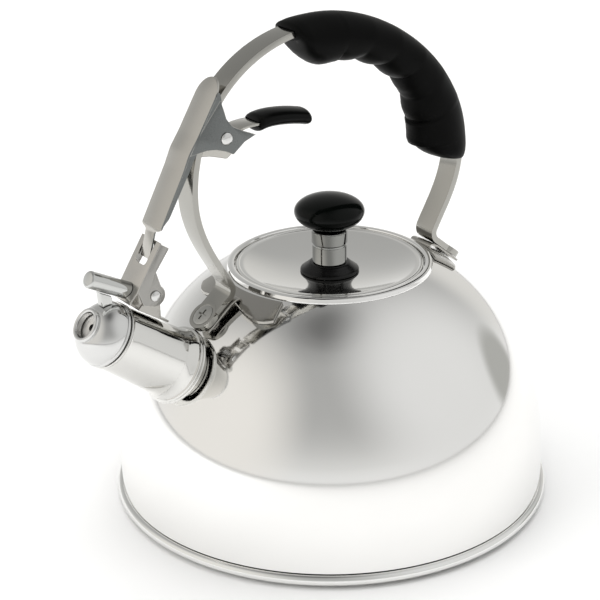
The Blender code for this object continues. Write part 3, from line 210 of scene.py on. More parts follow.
def spun(name, line, centre=(0, 0, 0), axis=(0, 0, 1), steps=128, closed=True):
    """Spin a closed section a full turn about an axis."""
    piece = trace(name, line, closed)
    bpy.ops.mesh.spin(steps=steps, angle=math.tau, center=centre, axis=axis)
    merge_points()
    close_up()
    return piece


def pressed(name, line, low, high):
    """Fill a closed outline and extrude it along Y from low to high."""
    piece = trace(name, line)
    bpy.ops.mesh.edge_face_add()
    bpy.ops.transform.translate(value=(0, low, 0))
    bpy.ops.mesh.extrude_region_move(TRANSFORM_OT_translate={"value": (0, high - low, 0)})
    close_up()
    return piece


def cut(piece, tool, operation="DIFFERENCE"):
    """Cut a piece with a tool, or join the tool to it, and throw the tool away."""
    pick(piece)
    step = piece.modifiers.new(operation.lower(), "BOOLEAN")
    step.operation = operation
    step.solver = "EXACT"
    step.object = tool
    bpy.ops.object.modifier_apply(modifier=step.name)
    bpy.data.objects.remove(tool, do_unlink=True)


def soften(piece, width, segments=2, angle=35):
    """Break a piece's edges with a small bevel."""
    pick(piece)
    step = piece.modifiers.new("edges", "BEVEL")
    step.width = width
    step.segments = segments
    step.limit_method = "ANGLE"
    step.angle_limit = math.radians(angle)
    bpy.ops.object.modifier_apply(modifier=step.name)


def finish_piece(piece, material, angle=30):
    """Smooth a piece's faces, keep its corners, and give it its material."""
    pick(piece)
    bpy.ops.object.shade_smooth_by_angle(angle=math.radians(angle))
    piece.data.materials.clear()
    piece.data.materials.append(material)


def arc(cx, cz, radius, start, end, steps):
    """Points of an arc, its angles in degrees."""
    turns = [math.radians(start + (end - start) * i / steps) for i in range(steps + 1)]
    return [(cx + radius * math.cos(a), cz + radius * math.sin(a)) for a in turns]


def fresh_material(name, colour, roughness, metallic):
    made = bpy.data.materials.new(name)
    made.use_nodes = True
    shader = made.node_tree.nodes["Principled BSDF"]
    shader.inputs["Base Color"].default_value = (*colour, 1)
    shader.inputs["Roughness"].default_value = roughness
    shader.inputs["Metallic"].default_value = metallic
    return made


def new_group(name, *inputs):
    """A finish group that gives a colour, a roughness and a normal. Returns it with its two ends."""
    group = bpy.data.node_groups.new(name, "ShaderNodeTree")
    for socket, kind, value in inputs:
        made = group.interface.new_socket(name=socket, in_out="INPUT", socket_type=f"NodeSocket{kind}")
        made.default_value = value
    for socket, kind in (("Color", "Color"), ("Roughness", "Float"), ("Normal", "Vector")):
        group.interface.new_socket(name=socket, in_out="OUTPUT", socket_type=f"NodeSocket{kind}")
    return group, add_node(group, "NodeGroupInput"), add_node(group, "NodeGroupOutput")


def roughen(group, given, extra, output, result):
    """Add this variation to the roughness that the group was given."""
    total = add_node(group, "ShaderNodeMath", operation="ADD")
    wire(group, given, "Roughness", total, 0)
    wire(group, extra, output, total, 1)
    wire(group, total, "Value", result, "Roughness")


def stain(group, given, patches, shade_colour, result):
    """Darken the tint in soft patches."""
    shade = add_node(group, "ShaderNodeMix", data_type="RGBA", blend_type="MULTIPLY")
    shade.inputs["B"].default_value = shade_colour
    wire(group, patches, "Fac", shade, "Factor")
    wire(group, given, "Tint", shade, "A")
    wire(group, shade, "Result", result, "Color")


def emboss(group, given, strength, source, distance, result):
    """Raise fine lines out of this noise."""
    relief = add_node(group, "ShaderNodeBump", [("Distance", distance)])
    wire(group, given, strength, relief, "Strength")
    wire(group, source, "Fac", relief, "Height")
    wire(group, relief, "Normal", result, "Normal")


# polish: buffing haze and faint hairlines
polish, given, result = new_group(
    "polish",
    ("Tint", "Color", (0.8, 0.8, 0.8, 1)),
    ("Roughness", "Float", 0.06),
    ("Haze", "Float", 0.03),
    ("Ripple", "Float", 0.02),
)
where = add_node(polish, "ShaderNodeTexCoord")
clouds = add_node(polish, "ShaderNodeTexNoise", [("Scale", 22.0), ("Detail", 4.0)])
wire(polish, where, "Object", clouds, "Vector")
squeeze = add_node(polish, "ShaderNodeMapping", [("Scale", (60, 60, 2600))])
wire(polish, where, "Object", squeeze, "Vector")
hairs = add_node(polish, "ShaderNodeTexNoise", [("Scale", 1.0), ("Detail", 2.0)])
wire(polish, squeeze, "Vector", hairs, "Vector")
haze = add_node(polish, "ShaderNodeMath", operation="MULTIPLY")
wire(polish, clouds, "Fac", haze, 0)
wire(polish, given, "Haze", haze, 1)
roughen(polish, given, haze, "Value", result)
stain(polish, given, clouds, (0.965, 0.965, 0.96, 1), result)
emboss(polish, given, "Ripple", hairs, 0.00002, result)

# brushing: long scratches along one direction, which Stretch sets
brushing, given, result = new_group(
    "brushing",
    ("Tint", "Color", (0.66, 0.64, 0.61, 1)),
    ("Roughness", "Float", 0.25),
    ("Stretch", "Vector", (900.0, 900.0, 40.0)),
    ("Depth", "Float", 0.2),
)
where = add_node(brushing, "ShaderNodeTexCoord")
squeeze = add_node(brushing, "ShaderNodeVectorMath", operation="MULTIPLY")
wire(brushing, where, "Object", squeeze, 0)
wire(brushing, given, "Stretch", squeeze, 1)
grain = add_node(brushing, "ShaderNodeTexNoise", [("Scale", 1.0), ("Detail", 5.0), ("Roughness", 0.6)])
wire(brushing, squeeze, "Vector", grain, "Vector")
patches = add_node(brushing, "ShaderNodeTexNoise", [("Scale", 55.0)])
wire(brushing, where, "Object", patches, "Vector")
limits = [("From Min", 0.3), ("From Max", 0.7), ("To Min", -0.05), ("To Max", 0.07)]
spread = add_node(brushing, "ShaderNodeMapRange", limits)
wire(brushing, grain, "Fac", spread, "Value")
roughen(brushing, given, spread, "Result", result)
stain(brushing, given, patches, (0.90, 0.89, 0.88, 1), result)
emboss(brushing, given, "Depth", grain, 0.00004, result)


def metal(name, group, tint, **values):
    """A metal whose colour, roughness and normal come from one of the finish groups."""
    made = fresh_material(name, tint, 0.2, 1.0)
    tree = made.node_tree
    shader = tree.nodes["Principled BSDF"]
    finish = add_node(tree, "ShaderNodeGroup", node_tree=group)
    finish.inputs["Tint"].default_value = (*tint, 1)
    for socket, value in values.items():
        finish.inputs[socket].default_value = value
    wire(tree, finish, "Color", shader, "Base Color")
    wire(tree, finish, "Roughness", shader, "Roughness")
    wire(tree, finish, "Normal", shader, "Normal")
    return made


def polished(name, tint, roughness, haze, ripple):
    """A buffed metal, with this much haze and these hairlines."""
    return metal(name, polish, tint, Roughness=roughness, Haze=haze, Ripple=ripple)


def brushed(name, tint, roughness, stretch, depth=0.2):
    """A brushed metal, with scratches this fine along X, Y and Z and this deep."""
    return metal(name, brushing, tint, Roughness=roughness, Stretch=stretch, Depth=depth)


mirror_steel = polished("mirror_steel", (0.93, 0.925, 0.915), 0.05, 0.03, 0.05)
bead_steel = polished("bead_steel", (0.88, 0.88, 0.87), 0.07, 0.04, 0.1)
turned_steel = brushed("turned_steel", (0.70, 0.70, 0.69), 0.30, (500, 500, 500))
raw_aluminium = brushed("raw_aluminium", (0.72, 0.72, 0.73), 0.38, (120, 900, 900))

BODY_RADIUS = 0.1075
RIM_BEAD = 0.0026
RIM_CENTRE = 0.1074
RIM_HEIGHT = 0.0040
FLOOR_BOTTOM = 0.0052
FLOOR_TOP = 0.0062
bead = arc(RIM_CENTRE, RIM_HEIGHT, RIM_BEAD, 122, -207, 36)
pan = spun(
    "pan_with_rolled_rim",
    [(0, FLOOR_BOTTOM), (0, FLOOR_TOP), (bead[0][0], FLOOR_TOP)] + bead,
    steps=192,
)
finish_piece(pan, bead_steel)
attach(pan, "kettle_body")
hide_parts("base_pan")
for name, material in (("base_cover", turned_steel), ("heat_disc", raw_aluminium)):
    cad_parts[name].data.materials[0] = material

# ---------------------------------------------------------------- body
# One deep-drawn steel shell: a short straight wall that turns into a dome. The outside is buffed to
# a mirror. A round hole in the front slope takes the spout.

DOME_START = 0.0170
DOME_HEIGHT = 0.1120
DOME_POWER = 2.2
OPENING_RADIUS = 0.0480
SPOUT_PITCH = math.radians(35.5)
SPOUT_FRONT = (-0.12545, 0.11413)
SPOUT_AXIS = (-math.cos(SPOUT_PITCH), 0, math.sin(SPOUT_PITCH))


def dome_z(radius):
    share = min(radius / BODY_RADIUS, 1.0)
    return DOME_START + DOME_HEIGHT * (1 - share**DOME_POWER) ** (1 / DOME_POWER)


def dome_slope(radius):
    share = radius / BODY_RADIUS
    rise = (dome_z(radius) - DOME_START) / DOME_HEIGHT
    return math.atan(DOME_HEIGHT / BODY_RADIUS * (share / rise) ** (DOME_POWER - 1))


def dome_line(inner_radius, depth, steps):
    """(radius, height) from the wall's top end up to inner_radius, set in by depth."""
    points = []
    last = math.acos((inner_radius / BODY_RADIUS) ** (DOME_POWER / 2))
    for i in range(steps + 1):
        turn = last * i / steps
        radius = BODY_RADIUS * math.cos(turn) ** (2 / DOME_POWER)
        height = DOME_START + DOME_HEIGHT * math.sin(turn) ** (2 / DOME_POWER)
        slope = dome_slope(radius) if i else math.pi / 2
        points.append((radius - depth * math.sin(slope), height - depth * math.cos(slope)))
    return points


def spout_point(distance, side=0.0):
    """(x, z) this far out along the spout's axis from the sleeve's front, and this far over it."""
    x = SPOUT_FRONT[0] - distance * math.cos(SPOUT_PITCH) + side * math.sin(SPOUT_PITCH)
    z = SPOUT_FRONT[1] + distance * math.sin(SPOUT_PITCH) + side * math.cos(SPOUT_PITCH)
    return x, z


def on_spout(line):
    """A section given as (radius, distance along the spout), as (x, z) points."""
    return [spout_point(distance, radius) for radius, distance in line]


def spun_on_spout(name, line, steps=96, closed=True):
    centre = (SPOUT_FRONT[0], 0, SPOUT_FRONT[1])
    return spun(name, on_spout(line), centre, SPOUT_AXIS, steps, closed)


WALL = 0.0010
SHELL_BOTTOM = 0.0069
outside = dome_line(OPENING_RADIUS, 0.0, 72)
inside = dome_line(OPENING_RADIUS, WALL, 72)
wall = [(BODY_RADIUS, SHELL_BOTTOM + 0.0004), (BODY_RADIUS, SHELL_BOTTOM + 0.003)]
shell = spun(
    "kettle_shell",
    [(BODY_RADIUS - 0.0004, SHELL_BOTTOM)]
    + wall
    + outside
    + inside[::-1]
    + [(BODY_RADIUS - WALL, SHELL_BOTTOM)],
    steps=224,
)
NECK_RADIUS = 0.0148
hole = spun_on_spout("hole_tool", [(0, -0.080), (NECK_RADIUS, -0.080), (NECK_RADIUS, 0), (0, 0)])
cut(shell, hole)
finish_piece(shell, mirror_steel, angle=25)
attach(shell, "kettle_body")
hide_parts("body_shell")

# ---------------------------------------------------------------- opening ring
# A rolled steel ring seated in the top of the dome. Its skirt goes down inside and turns in to
# make the ledge that the lid sits on.

SEAM = 0.0003
RING_RISE = 0.0011
RING_OUTER = OPENING_RADIUS + 0.0028
RING_INNER = OPENING_RADIUS - 0.0010
RING_TOP = dome_z(OPENING_RADIUS) + SEAM + RING_RISE
SEAT_TOP = RING_TOP - 0.0030
SEAT_INNER = RING_INNER - 0.0034
ring_crown = [
    (RING_OUTER, dome_z(RING_OUTER) + 0.0001),
    (RING_OUTER, dome_z(RING_OUTER) + 0.0005),
    (RING_OUTER - 0.00015, dome_z(RING_OUTER) + 0.0009),
    (RING_OUTER - 0.0005, RING_TOP - 0.00045),
    (RING_OUTER - 0.0010, RING_TOP - 0.0002),
    ((RING_OUTER + RING_INNER) / 2 + 0.0004, RING_TOP - 0.00002),
    ((RING_OUTER + RING_INNER) / 2 - 0.0004, RING_TOP),
    (RING_INNER + 0.0006, RING_TOP - 0.00005),
    (RING_INNER + 0.0002, RING_TOP - 0.00022),
    (RING_INNER, RING_TOP - 0.0006),
]
ring = spun(
    "lid_opening_ring",
    [(OPENING_RADIUS - SEAM, dome_z(OPENING_RADIUS))]
    + [(OPENING_RADIUS + 0.0014, dome_z(OPENING_RADIUS + 0.0014) + 0.0001)]
    + ring_crown
    + [
        (RING_INNER, SEAT_TOP + 0.0003),
        (RING_INNER - 0.0003, SEAT_TOP),
        (SEAT_INNER, SEAT_TOP),
        (SEAT_INNER, SEAT_TOP - 0.0009),
        (OPENING_RADIUS - SEAM, SEAT_TOP - 0.0009),
    ],
    steps=192,
)
finish_piece(ring, mirror_steel)
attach(ring, "kettle_body")
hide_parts("opening_ring")

# ---------------------------------------------------------------- spout
# A short neck welded into the dome carries a slightly tapered sleeve. The sleeve's rear end has a
# flange of two rolled beads, its front end a small bead, and a tube inside seats the whistle cap.

SLEEVE_LENGTH = 0.0443
SLEEVE_FRONT = 0.0153
SLEEVE_REAR = 0.0171
BEAD_RADIUS = 0.0191
BEAD_WIDTH = 0.0018


def sleeve_radius(distance):
    return SLEEVE_FRONT + (SLEEVE_REAR - SLEEVE_FRONT) * distance / SLEEVE_LENGTH


sleeve_steel = polished("sleeve_steel", (0.78, 0.775, 0.755), 0.04, 0.03, 0.08)
rear = -SLEEVE_LENGTH
flange = []
for number in range(2):
    middle = rear + BEAD_WIDTH * (1.5 - number)
    flange += arc(BEAD_RADIUS - 0.0009, middle, BEAD_WIDTH / 2 - 0.00002, 78, -78, 10)
sleeve = spun_on_spout(
    "spout_sleeve_tube",
    [(SLEEVE_FRONT - 0.0009, -SEAM), (SLEEVE_FRONT + 0.0001, -SEAM)]
    + arc(SLEEVE_FRONT + 0.0001, -SEAM - 0.0005, 0.0005, 60, -70, 8)
    + [(SLEEVE_FRONT + 0.00005, -0.0019), (SLEEVE_FRONT + 0.0001, -0.0024)]
    + [(sleeve_radius(d), -d) for d in (0.006, 0.014, 0.022, 0.030, 0.0345)]
    + [(sleeve_radius(0.0365), -0.0372), (SLEEVE_REAR + 0.0004, -0.0390), (SLEEVE_REAR + 0.0008, -0.0402)]
    + [(BEAD_RADIUS - 0.0011, -0.0406)]
    + flange
    + [(BEAD_RADIUS - 0.0012, rear), (NECK_RADIUS + SEAM, rear), (NECK_RADIUS + SEAM, rear + 0.0018)]
    + [(sleeve_radius(0.0383) - 0.0009, -0.0383)],
)
finish_piece(sleeve, sleeve_steel)
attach(sleeve, "kettle_body")
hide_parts("spout_sleeve")

neck = spun_on_spout(
    "spout_neck_tube",
    [(NECK_RADIUS - 0.0010, rear - 0.0052), (NECK_RADIUS - 0.0010, rear + 0.0100)]
    + [(NECK_RADIUS, rear + 0.0100), (NECK_RADIUS, rear - 0.0052)],
)
finish_piece(neck, sleeve_steel)
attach(neck, "kettle_body")
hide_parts("spout_neck")
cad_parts["spout_seat_tube"].data.materials[0] = sleeve_steel

# ---------------------------------------------------------------- handle brackets
# Two pressed crescents are welded to the dome beside the lid. Each has a tab that humps up and
# runs out under the strip's foot, where a countersunk screw clamps both to a nut.

FOOT_RADIUS = 0.0705
FOOT_FLAT = 0.0137
TAB_BOTTOM = 0.0020
TAB_TOP = 0.0031
STRIP_BOTTOM = 0.0034
STRIP_THICKNESS = 0.0030
STRIP_TOP = STRIP_BOTTOM + STRIP_THICKNESS
FOOT_SLOPE = dome_slope(FOOT_RADIUS)


def bezier(p0, p1, p2, p3, steps):
    """Points of one cubic stretch, leaving out its first point."""
    points = []
    for i in range(1, steps + 1):
        t = i / steps
        s = 1 - t
        weights = (s**3, 3 * s * s * t, 3 * s * t * t, t**3)
        points.append(tuple(sum(w * p[k] for w, p in zip(weights, (p0, p1, p2, p3))) for k in (0, 1)))
    return points


def offset_line(points, distance):
    """The line moved to its left by this distance."""
    moved = []
    for i, (x, z) in enumerate(points):
        x0, z0 = points[max(i - 1, 0)]
        x1, z1 = points[min(i + 1, len(points) - 1)]
        length = math.hypot(x1 - x0, z1 - z0)
        moved.append((x - (z1 - z0) / length * distance, z + (x1 - x0) / length * distance))
    return moved


def sheet_outline(points, thickness):
    """The outline of a bent sheet, from its middle line."""
    return offset_line(points, thickness / 2) + offset_line(points, -thickness / 2)[::-1]


def foot_point(side, out, rise):
    """(x, z) at a foot: out along the dome's slope from the screw, and rise off the dome."""
    x = FOOT_RADIUS + out * math.cos(FOOT_SLOPE) + rise * math.sin(FOOT_SLOPE)
    z = dome_z(FOOT_RADIUS) - out * math.sin(FOOT_SLOPE) + rise * math.cos(FOOT_SLOPE)
    return side * x, z


def on_foot(side, line):
    """A section given as (radius, rise off the dome at the screw), as (x, z) points."""
    return [foot_point(side, radius, rise) for radius, rise in line]


def spun_on_foot(name, side, line, steps=48):
    centre = foot_point(side, 0, 0)
    axis = (side * math.sin(FOOT_SLOPE), 0, math.cos(FOOT_SLOPE))
    return spun(name, on_foot(side, line), (centre[0], 0, centre[1]), axis, steps)


satin_bracket = brushed("satin_bracket", (0.44, 0.43, 0.405), 0.15, (60, 700, 60), 0.12)
SCREW_RADIUS = 0.0020
SCREW_BORE = SCREW_RADIUS + SEAM
FLANGE_INNER = RING_OUTER + 0.0016
FLANGE_SHEET = 0.0011
FLANGE_BLANK = 0.0125
FLANGE_HALF = math.radians(29)


def flange_reach(share):
    """How far out the crescent reaches, from its middle (0) to its tips (1)."""
    wing = min(share / 0.76, 1.0)
    reach = 0.0066 + 0.0055 * wing * wing * (3 - 2 * wing)
    return reach - 0.0017 * max(0.0, (share - 0.76) / 0.24) ** 2


def quarter_turn(axis, move=(0, 0, 0)):
    """Turn the active piece's points a quarter turn about this axis of the frame, then move them."""
    bpy.ops.object.mode_set(mode="EDIT")
    bpy.ops.mesh.select_all(action="SELECT")
    bpy.ops.transform.rotate(value=math.pi / 2, orient_axis=axis, center_override=(0, 0, 0))
    bpy.ops.transform.translate(value=move)
    bpy.ops.object.mode_set(mode="OBJECT")


def make_bracket(name, side):
    section = []
    for lift, steps in ((SEAM, range(9)), (SEAM + FLANGE_SHEET, range(8, -1, -1))):
        for step in steps:
            radius = FLANGE_INNER + FLANGE_BLANK * step / 8
            slope = dome_slope(radius)
            section.append((radius + lift * math.sin(slope), dome_z(radius) + lift * math.cos(slope)))
    band = trace(name, section)
    bpy.ops.mesh.spin(steps=40, angle=math.radians(60), center=(0, 0, 0), axis=(0, 0, 1))
    merge_points()
    bpy.ops.mesh.fill_holes(sides=0)
    bpy.ops.mesh.select_all(action="SELECT")
    bpy.ops.object.mode_set(mode="OBJECT")
    middle_x = sum(v.co.x for v in band.data.vertices)
    middle_y = sum(v.co.y for v in band.data.vertices)
    band.rotation_euler.z = (0 if side > 0 else math.pi) - math.atan2(middle_y, middle_x)
    pick(band)
    bpy.ops.object.transform_apply(location=True, rotation=True, scale=True)
    bpy.ops.object.mode_set(mode="EDIT")
    close_up()
    # the crescent's plan, pressed along Y and then stood up along Z
    inside = FLANGE_INNER + 0.0001
    plan = []
    for step in range(49):
        share = step / 24 - 1
        turn = FLANGE_HALF * share
        reach = FLANGE_INNER + flange_reach(abs(share))
        plan.append((side * reach * math.cos(turn), reach * math.sin(turn)))
    for step in range(49):
        turn = FLANGE_HALF * (1 - step / 24)
        plan.append((side * inside * math.cos(turn), inside * math.sin(turn)))
    tool = pressed("plan_tool", plan, -0.2, 0.2)
    quarter_turn("X")
    return band, tool


def make_tab(name, side):
    middle = (TAB_BOTTOM + TAB_TOP) / 2
    root = FLANGE_INNER + 0.0046
    slope = dome_slope(root)
    lift = SEAM + FLANGE_SHEET / 2 + 0.00015
    start = (root + lift * math.sin(slope), dome_z(root) + lift * math.cos(slope))
    hump = foot_point(1, -FOOT_FLAT + 0.0035, middle)
    steep = (start[0] + 0.0006, start[1] + 0.0026)
    level = (hump[0] - 0.0014, hump[1] + 0.0012)
    rise = bezier(start, steep, level, hump, 14)
    line = [start] + rise + [foot_point(1, out, middle) for out in (-0.0050, 0.0, 0.0054)]
    outline = [(side * x, z) for x, z in sheet_outline(line, FLANGE_SHEET)]
    tab = pressed(name, outline, -0.0075, 0.0075)
    soften(tab, 0.0003)
    return tab


for name, side in (("front", -1), ("rear", 1)):
    bracket, plan_tool = make_bracket(f"{name}_bracket_pressing", side)
    cut(bracket, plan_tool, "INTERSECT")
    soften(bracket, 0.0002, 2, 50)
    cut(bracket, make_tab("tab_tool", side), "UNION")
    screw_way = [(0, 0.0005), (SCREW_BORE, 0.0005), (SCREW_BORE, 0.005), (0, 0.005)]
    cut(bracket, spun_on_foot("way_tool", side, screw_way, 32))
    finish_piece(bracket, satin_bracket, 35)
    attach(bracket, "kettle_body")
    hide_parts(f"{name}_bracket")
    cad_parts[f"{name}_foot_nut"].data.materials[0] = turned_steel

# ---------------------------------------------------------------- handle strip
# One long strip of satin steel, bent up from the two feet, in through a waist and over in an arch.
# Each foot is a rounded pad, countersunk for its screw.

STRIP_WIDTH = 0.0128
PAD_RADIUS = 0.0076
SINK_RADIUS = 0.0058
BEND_RADIUS = 0.0050
LEG_ANGLE = math.radians(62)
FRONT_WAIST = (-0.0802, 0.17201)
REAR_WAIST = (0.0775, 0.16801)
CROWN = (-0.0080, 0.24101)


def leg_line(side, past=0.0013):
    middle = (STRIP_BOTTOM + STRIP_TOP) / 2
    start = foot_point(1, past, middle)
    bend = foot_point(1, -FOOT_FLAT, middle)
    heading = math.pi - FOOT_SLOPE
    centre = (bend[0] + BEND_RADIUS * math.sin(heading), bend[1] - BEND_RADIUS * math.cos(heading))
    sweep = arc(*centre, BEND_RADIUS, math.degrees(heading) + 90, math.degrees(LEG_ANGLE) + 90, 18)
    waist = FRONT_WAIST if side < 0 else REAR_WAIST
    waist = (abs(waist[0]), waist[1])
    end = sweep[-1]
    lower = (end[0] + 0.014 * math.cos(LEG_ANGLE), end[1] + 0.014 * math.sin(LEG_ANGLE))
    leg = bezier(end, lower, (waist[0], waist[1] - 0.020), waist, 20)
    return [(side * x, z) for x, z in [start] + sweep + leg]


def front_crown(steps=36):
    rise = (CROWN[1] - FRONT_WAIST[1]) * 0.58
    run = (CROWN[0] - FRONT_WAIST[0]) * 0.58
    steep = (FRONT_WAIST[0], FRONT_WAIST[1] + rise)
    return bezier(FRONT_WAIST, steep, (CROWN[0] - run, CROWN[1]), CROWN, steps)


def rear_crown(steps=36):
    rise = (CROWN[1] - REAR_WAIST[1]) * 0.50
    run = (REAR_WAIST[0] - CROWN[0]) * 0.50
    steep = (REAR_WAIST[0], REAR_WAIST[1] + rise)
    return bezier(CROWN, (CROWN[0] + run, CROWN[1]), steep, REAR_WAIST, steps)


def handle_line():
    return leg_line(-1) + front_crown() + rear_crown() + leg_line(1)[::-1][1:]


satin_strip = brushed("satin_strip", (0.42, 0.415, 0.39), 0.10, (40, 1100, 40), 0.10)
half = STRIP_WIDTH / 2
strip = pressed("handle_arch", sheet_outline(handle_line(), STRIP_THICKNESS), -half, half)
for side in (-1, 1):
    low = STRIP_BOTTOM + 0.0001
    high = STRIP_TOP + 0.0001
    pad = spun_on_foot("pad_tool", side, [(0, low), (0, high), (PAD_RADIUS, high), (PAD_RADIUS, low)], 64)
    cut(strip, pad, "UNION")
soften(strip, 0.0011, 5, 50)
for side in (-1, 1):
    sink = spun_on_foot(
        "sink_tool",
        side,
        [(0, 0.001), (SCREW_BORE, 0.001), (SCREW_BORE, 0.0048)]
        + [(SINK_RADIUS, 0.0064), (SINK_RADIUS, 0.009), (0, 0.009)],
    )
    cut(strip, sink)
finish_piece(strip, satin_strip, 28)
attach(strip, "kettle_body")
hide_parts("handle_strip")

# ---------------------------------------------------------------- foot screws
# Countersunk screws with a low raised head and a cross recess, bright plated.

screw_steel = brushed("screw_steel", (0.48, 0.48, 0.46), 0.20, (400, 400, 400), 0.25)


def cross_tools(side, reach, width, low, high):
    """Two crossed bars, standing on the foot's screw axis."""
    tools = []
    for across, along in ((reach, width), (width, reach)):
        corners = [(-across / 2, low), (across / 2, low), (across / 2, high), (-across / 2, high)]
        corners = [foot_point(side, x, z) for x, z in corners]
        tools.append(pressed("cross_tool", corners, -along / 2, along / 2))
    return tools


for name, side in (("front", -1), ("rear", 1)):
    screw = spun_on_foot(
        f"{name}_countersunk_screw",
        side,
        [(0, 0.0068), (0.0020, 0.00678), (0.0036, 0.0067), (0.0047, 0.00658), (0.0052, 0.0065)]
        + [(0.0055, 0.0064), (0.0054, 0.0062), (SCREW_RADIUS, 0.0047), (SCREW_RADIUS, 0.0006), (0, 0.0006)],
        64,
    )
    for tool in cross_tools(side, 0.0058, 0.0010, 0.0058, 0.0080):
        cut(screw, tool)
    finish_piece(screw, screw_steel, 28)
    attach(screw, "kettle_body")
    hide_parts(f"{name}_foot_screw")

# ---------------------------------------------------------------- grip
# A satin black plastic grip moulded round the arch. Its outside is a smooth curve, and five finger
# bumps run along its inside up to a deeper heel at the rear.

GRIP_FRONT = 0.0960
GRIP_PAST_WAIST = 0.0080
GRIP_OUTER = 0.0051
GRIP_HALF_WIDTH = 0.0130
GRIP_END_OUTER = 0.0030
GRIP_END_WIDTH = 0.0078
GRIP_SKIN = 0.0042
GRIP_BUMP = 0.0022


def moulded(name, colour, roughness, gloss, scale, depth, flecks):
    """A plastic with a faint grain, a patchy sheen and scattered light dust."""
    made = fresh_material(name, colour, roughness, 0.0)
    tree = made.node_tree
    shader = tree.nodes["Principled BSDF"]
    shader.inputs["Specular IOR Level"].default_value = gloss
    where = add_node(tree, "ShaderNodeTexCoord")
    grain = add_node(tree, "ShaderNodeTexNoise", [("Scale", scale), ("Detail", 3.0)])
    wire(tree, where, "Object", grain, "Vector")
    relief = add_node(tree, "ShaderNodeBump", [("Strength", depth), ("Distance", 0.00006)])
    wire(tree, grain, "Fac", relief, "Height")
    wire(tree, relief, "Normal", shader, "Normal")
    patches = add_node(tree, "ShaderNodeTexNoise", [("Scale", 42.0)])
    wire(tree, where, "Object", patches, "Vector")
    limits = [("To Min", roughness - 0.06), ("To Max", roughness + 0.08)]
    sheen = add_node(tree, "ShaderNodeMapRange", limits)
    wire(tree, patches, "Fac", sheen, "Value")
    wire(tree, sheen, "Result", shader, "Roughness")
    limits = [("From Min", 0.62), ("From Max", 0.90), ("To Max", flecks)]
    dust = add_node(tree, "ShaderNodeMapRange", limits)
    wire(tree, grain, "Fac", dust, "Value")
    colours = [("A", (*colour, 1)), ("B", (0.20, 0.20, 0.20, 1))]
    shade = add_node(tree, "ShaderNodeMix", colours, data_type="RGBA")
    wire(tree, dust, "Result", shade, "Factor")
    wire(tree, shade, "Result", shader, "Base Color")
    return made


def lofted(name, rings, around=40):
    """Bridge a row of ellipses, each given as (x, z, outward direction, depth, width)."""
    circles = []
    for x, z, (nx, nz), depth, width in rings:
        bpy.ops.object.select_all(action="DESELECT")
        bpy.ops.mesh.primitive_circle_add(
            vertices=around, radius=1.0, location=(x, 0, z), rotation=(0, math.atan2(-nz, nx), 0)
        )
        bpy.context.object.scale = (depth, width, 1)
        circles.append(bpy.context.object)
    for circle in circles:
        circle.select_set(True)
    bpy.ops.object.transform_apply(location=True, rotation=True, scale=True)
    bpy.context.view_layer.objects.active = circles[0]
    bpy.ops.object.join()
    piece = bpy.context.object
    piece.name = name
    bpy.ops.object.mode_set(mode="EDIT")
    bpy.ops.mesh.select_all(action="SELECT")
    bpy.ops.mesh.bridge_edge_loops()
    bpy.ops.mesh.select_all(action="SELECT")
    bpy.ops.mesh.fill_holes(sides=0)
    close_up()
    return piece


def eased(share, span):
    return math.sqrt(1 - (1 - min(max(share, 0.0) / span, 1.0)) ** 2)


def grip_depth(share):
    """How far the grip reaches in from the strip, from its front end (0) to its rear end (1)."""
    ends = eased(share - 0.012, 0.13) * eased(1 - share, 0.13)
    bumps = GRIP_BUMP
    if 0.18 < share < 0.78:
        bumps *= abs(math.sin(5 * math.pi * (share - 0.18) / 0.60)) ** 0.7
    lobe = 0.0090 * max(0.0, (share - 0.62) / 0.38) ** 0.8
    waist = 0.0030 * math.sin(math.pi * min(1.0, max(0.0, (share - 0.10) / 0.60)))
    full = 0.0200 + lobe - waist + bumps - GRIP_BUMP
    return GRIP_SKIN + (full - GRIP_SKIN) * ends


def stand_on(points, k, t, back, ahead):
    """(x, z) at share t of the stretch after point k, and the direction square to the line there."""
    x = points[k][0] + (points[k + 1][0] - points[k][0]) * t
    z = points[k][1] + (points[k + 1][1] - points[k][1]) * t
    near, far = points[max(k - back, 0)], points[min(k + ahead, len(points) - 1)]
    run = math.hypot(far[0] - near[0], far[1] - near[1])
    return x, z, -(far[1] - near[1]) / run, (far[0] - near[0]) / run


below = (REAR_WAIST[0] - 0.0018, REAR_WAIST[1] - 2 * GRIP_PAST_WAIST)
spine = [FRONT_WAIST] + front_crown(72) + rear_crown(72) + [below]
reaches = [0.0]
for (x0, z0), (x1, z1) in zip(spine, spine[1:]):
    reaches.append(reaches[-1] + math.hypot(x1 - x0, z1 - z0))
grip_end = reaches[-2] + GRIP_PAST_WAIST
rings = []
for step in range(121):
    even = step / 120
    share = even - 0.20 * math.sin(math.tau * even) / math.tau
    reach = GRIP_FRONT + (grip_end - GRIP_FRONT) * share
    k = max(j for j in range(len(reaches) - 1) if reaches[j] <= reach)
    t = (reach - reaches[k]) / (reaches[k + 1] - reaches[k])
    x, z, nx, nz = stand_on(spine, k, t, 2, 3)
    end = min(share / 0.045, (1 - share) / 0.045, 1.0)
    rounding = math.sqrt(max(0.0, 1 - (1 - end) ** 2))
    outer = GRIP_END_OUTER + (GRIP_OUTER - GRIP_END_OUTER) * rounding
    inner = grip_depth(share)
    width = GRIP_END_WIDTH + (GRIP_HALF_WIDTH - GRIP_END_WIDTH) * rounding
    middle = (outer - inner) / 2
    rings.append((x + nx * middle, z + nz * middle, (nx, nz), (outer + inner) / 2, width))
grip = lofted("moulded_grip", rings, 48)
tunnel = sheet_outline(handle_line(), STRIP_THICKNESS + 2 * SEAM)
cut(grip, pressed("tunnel_tool", tunnel, -half - SEAM, half + SEAM))
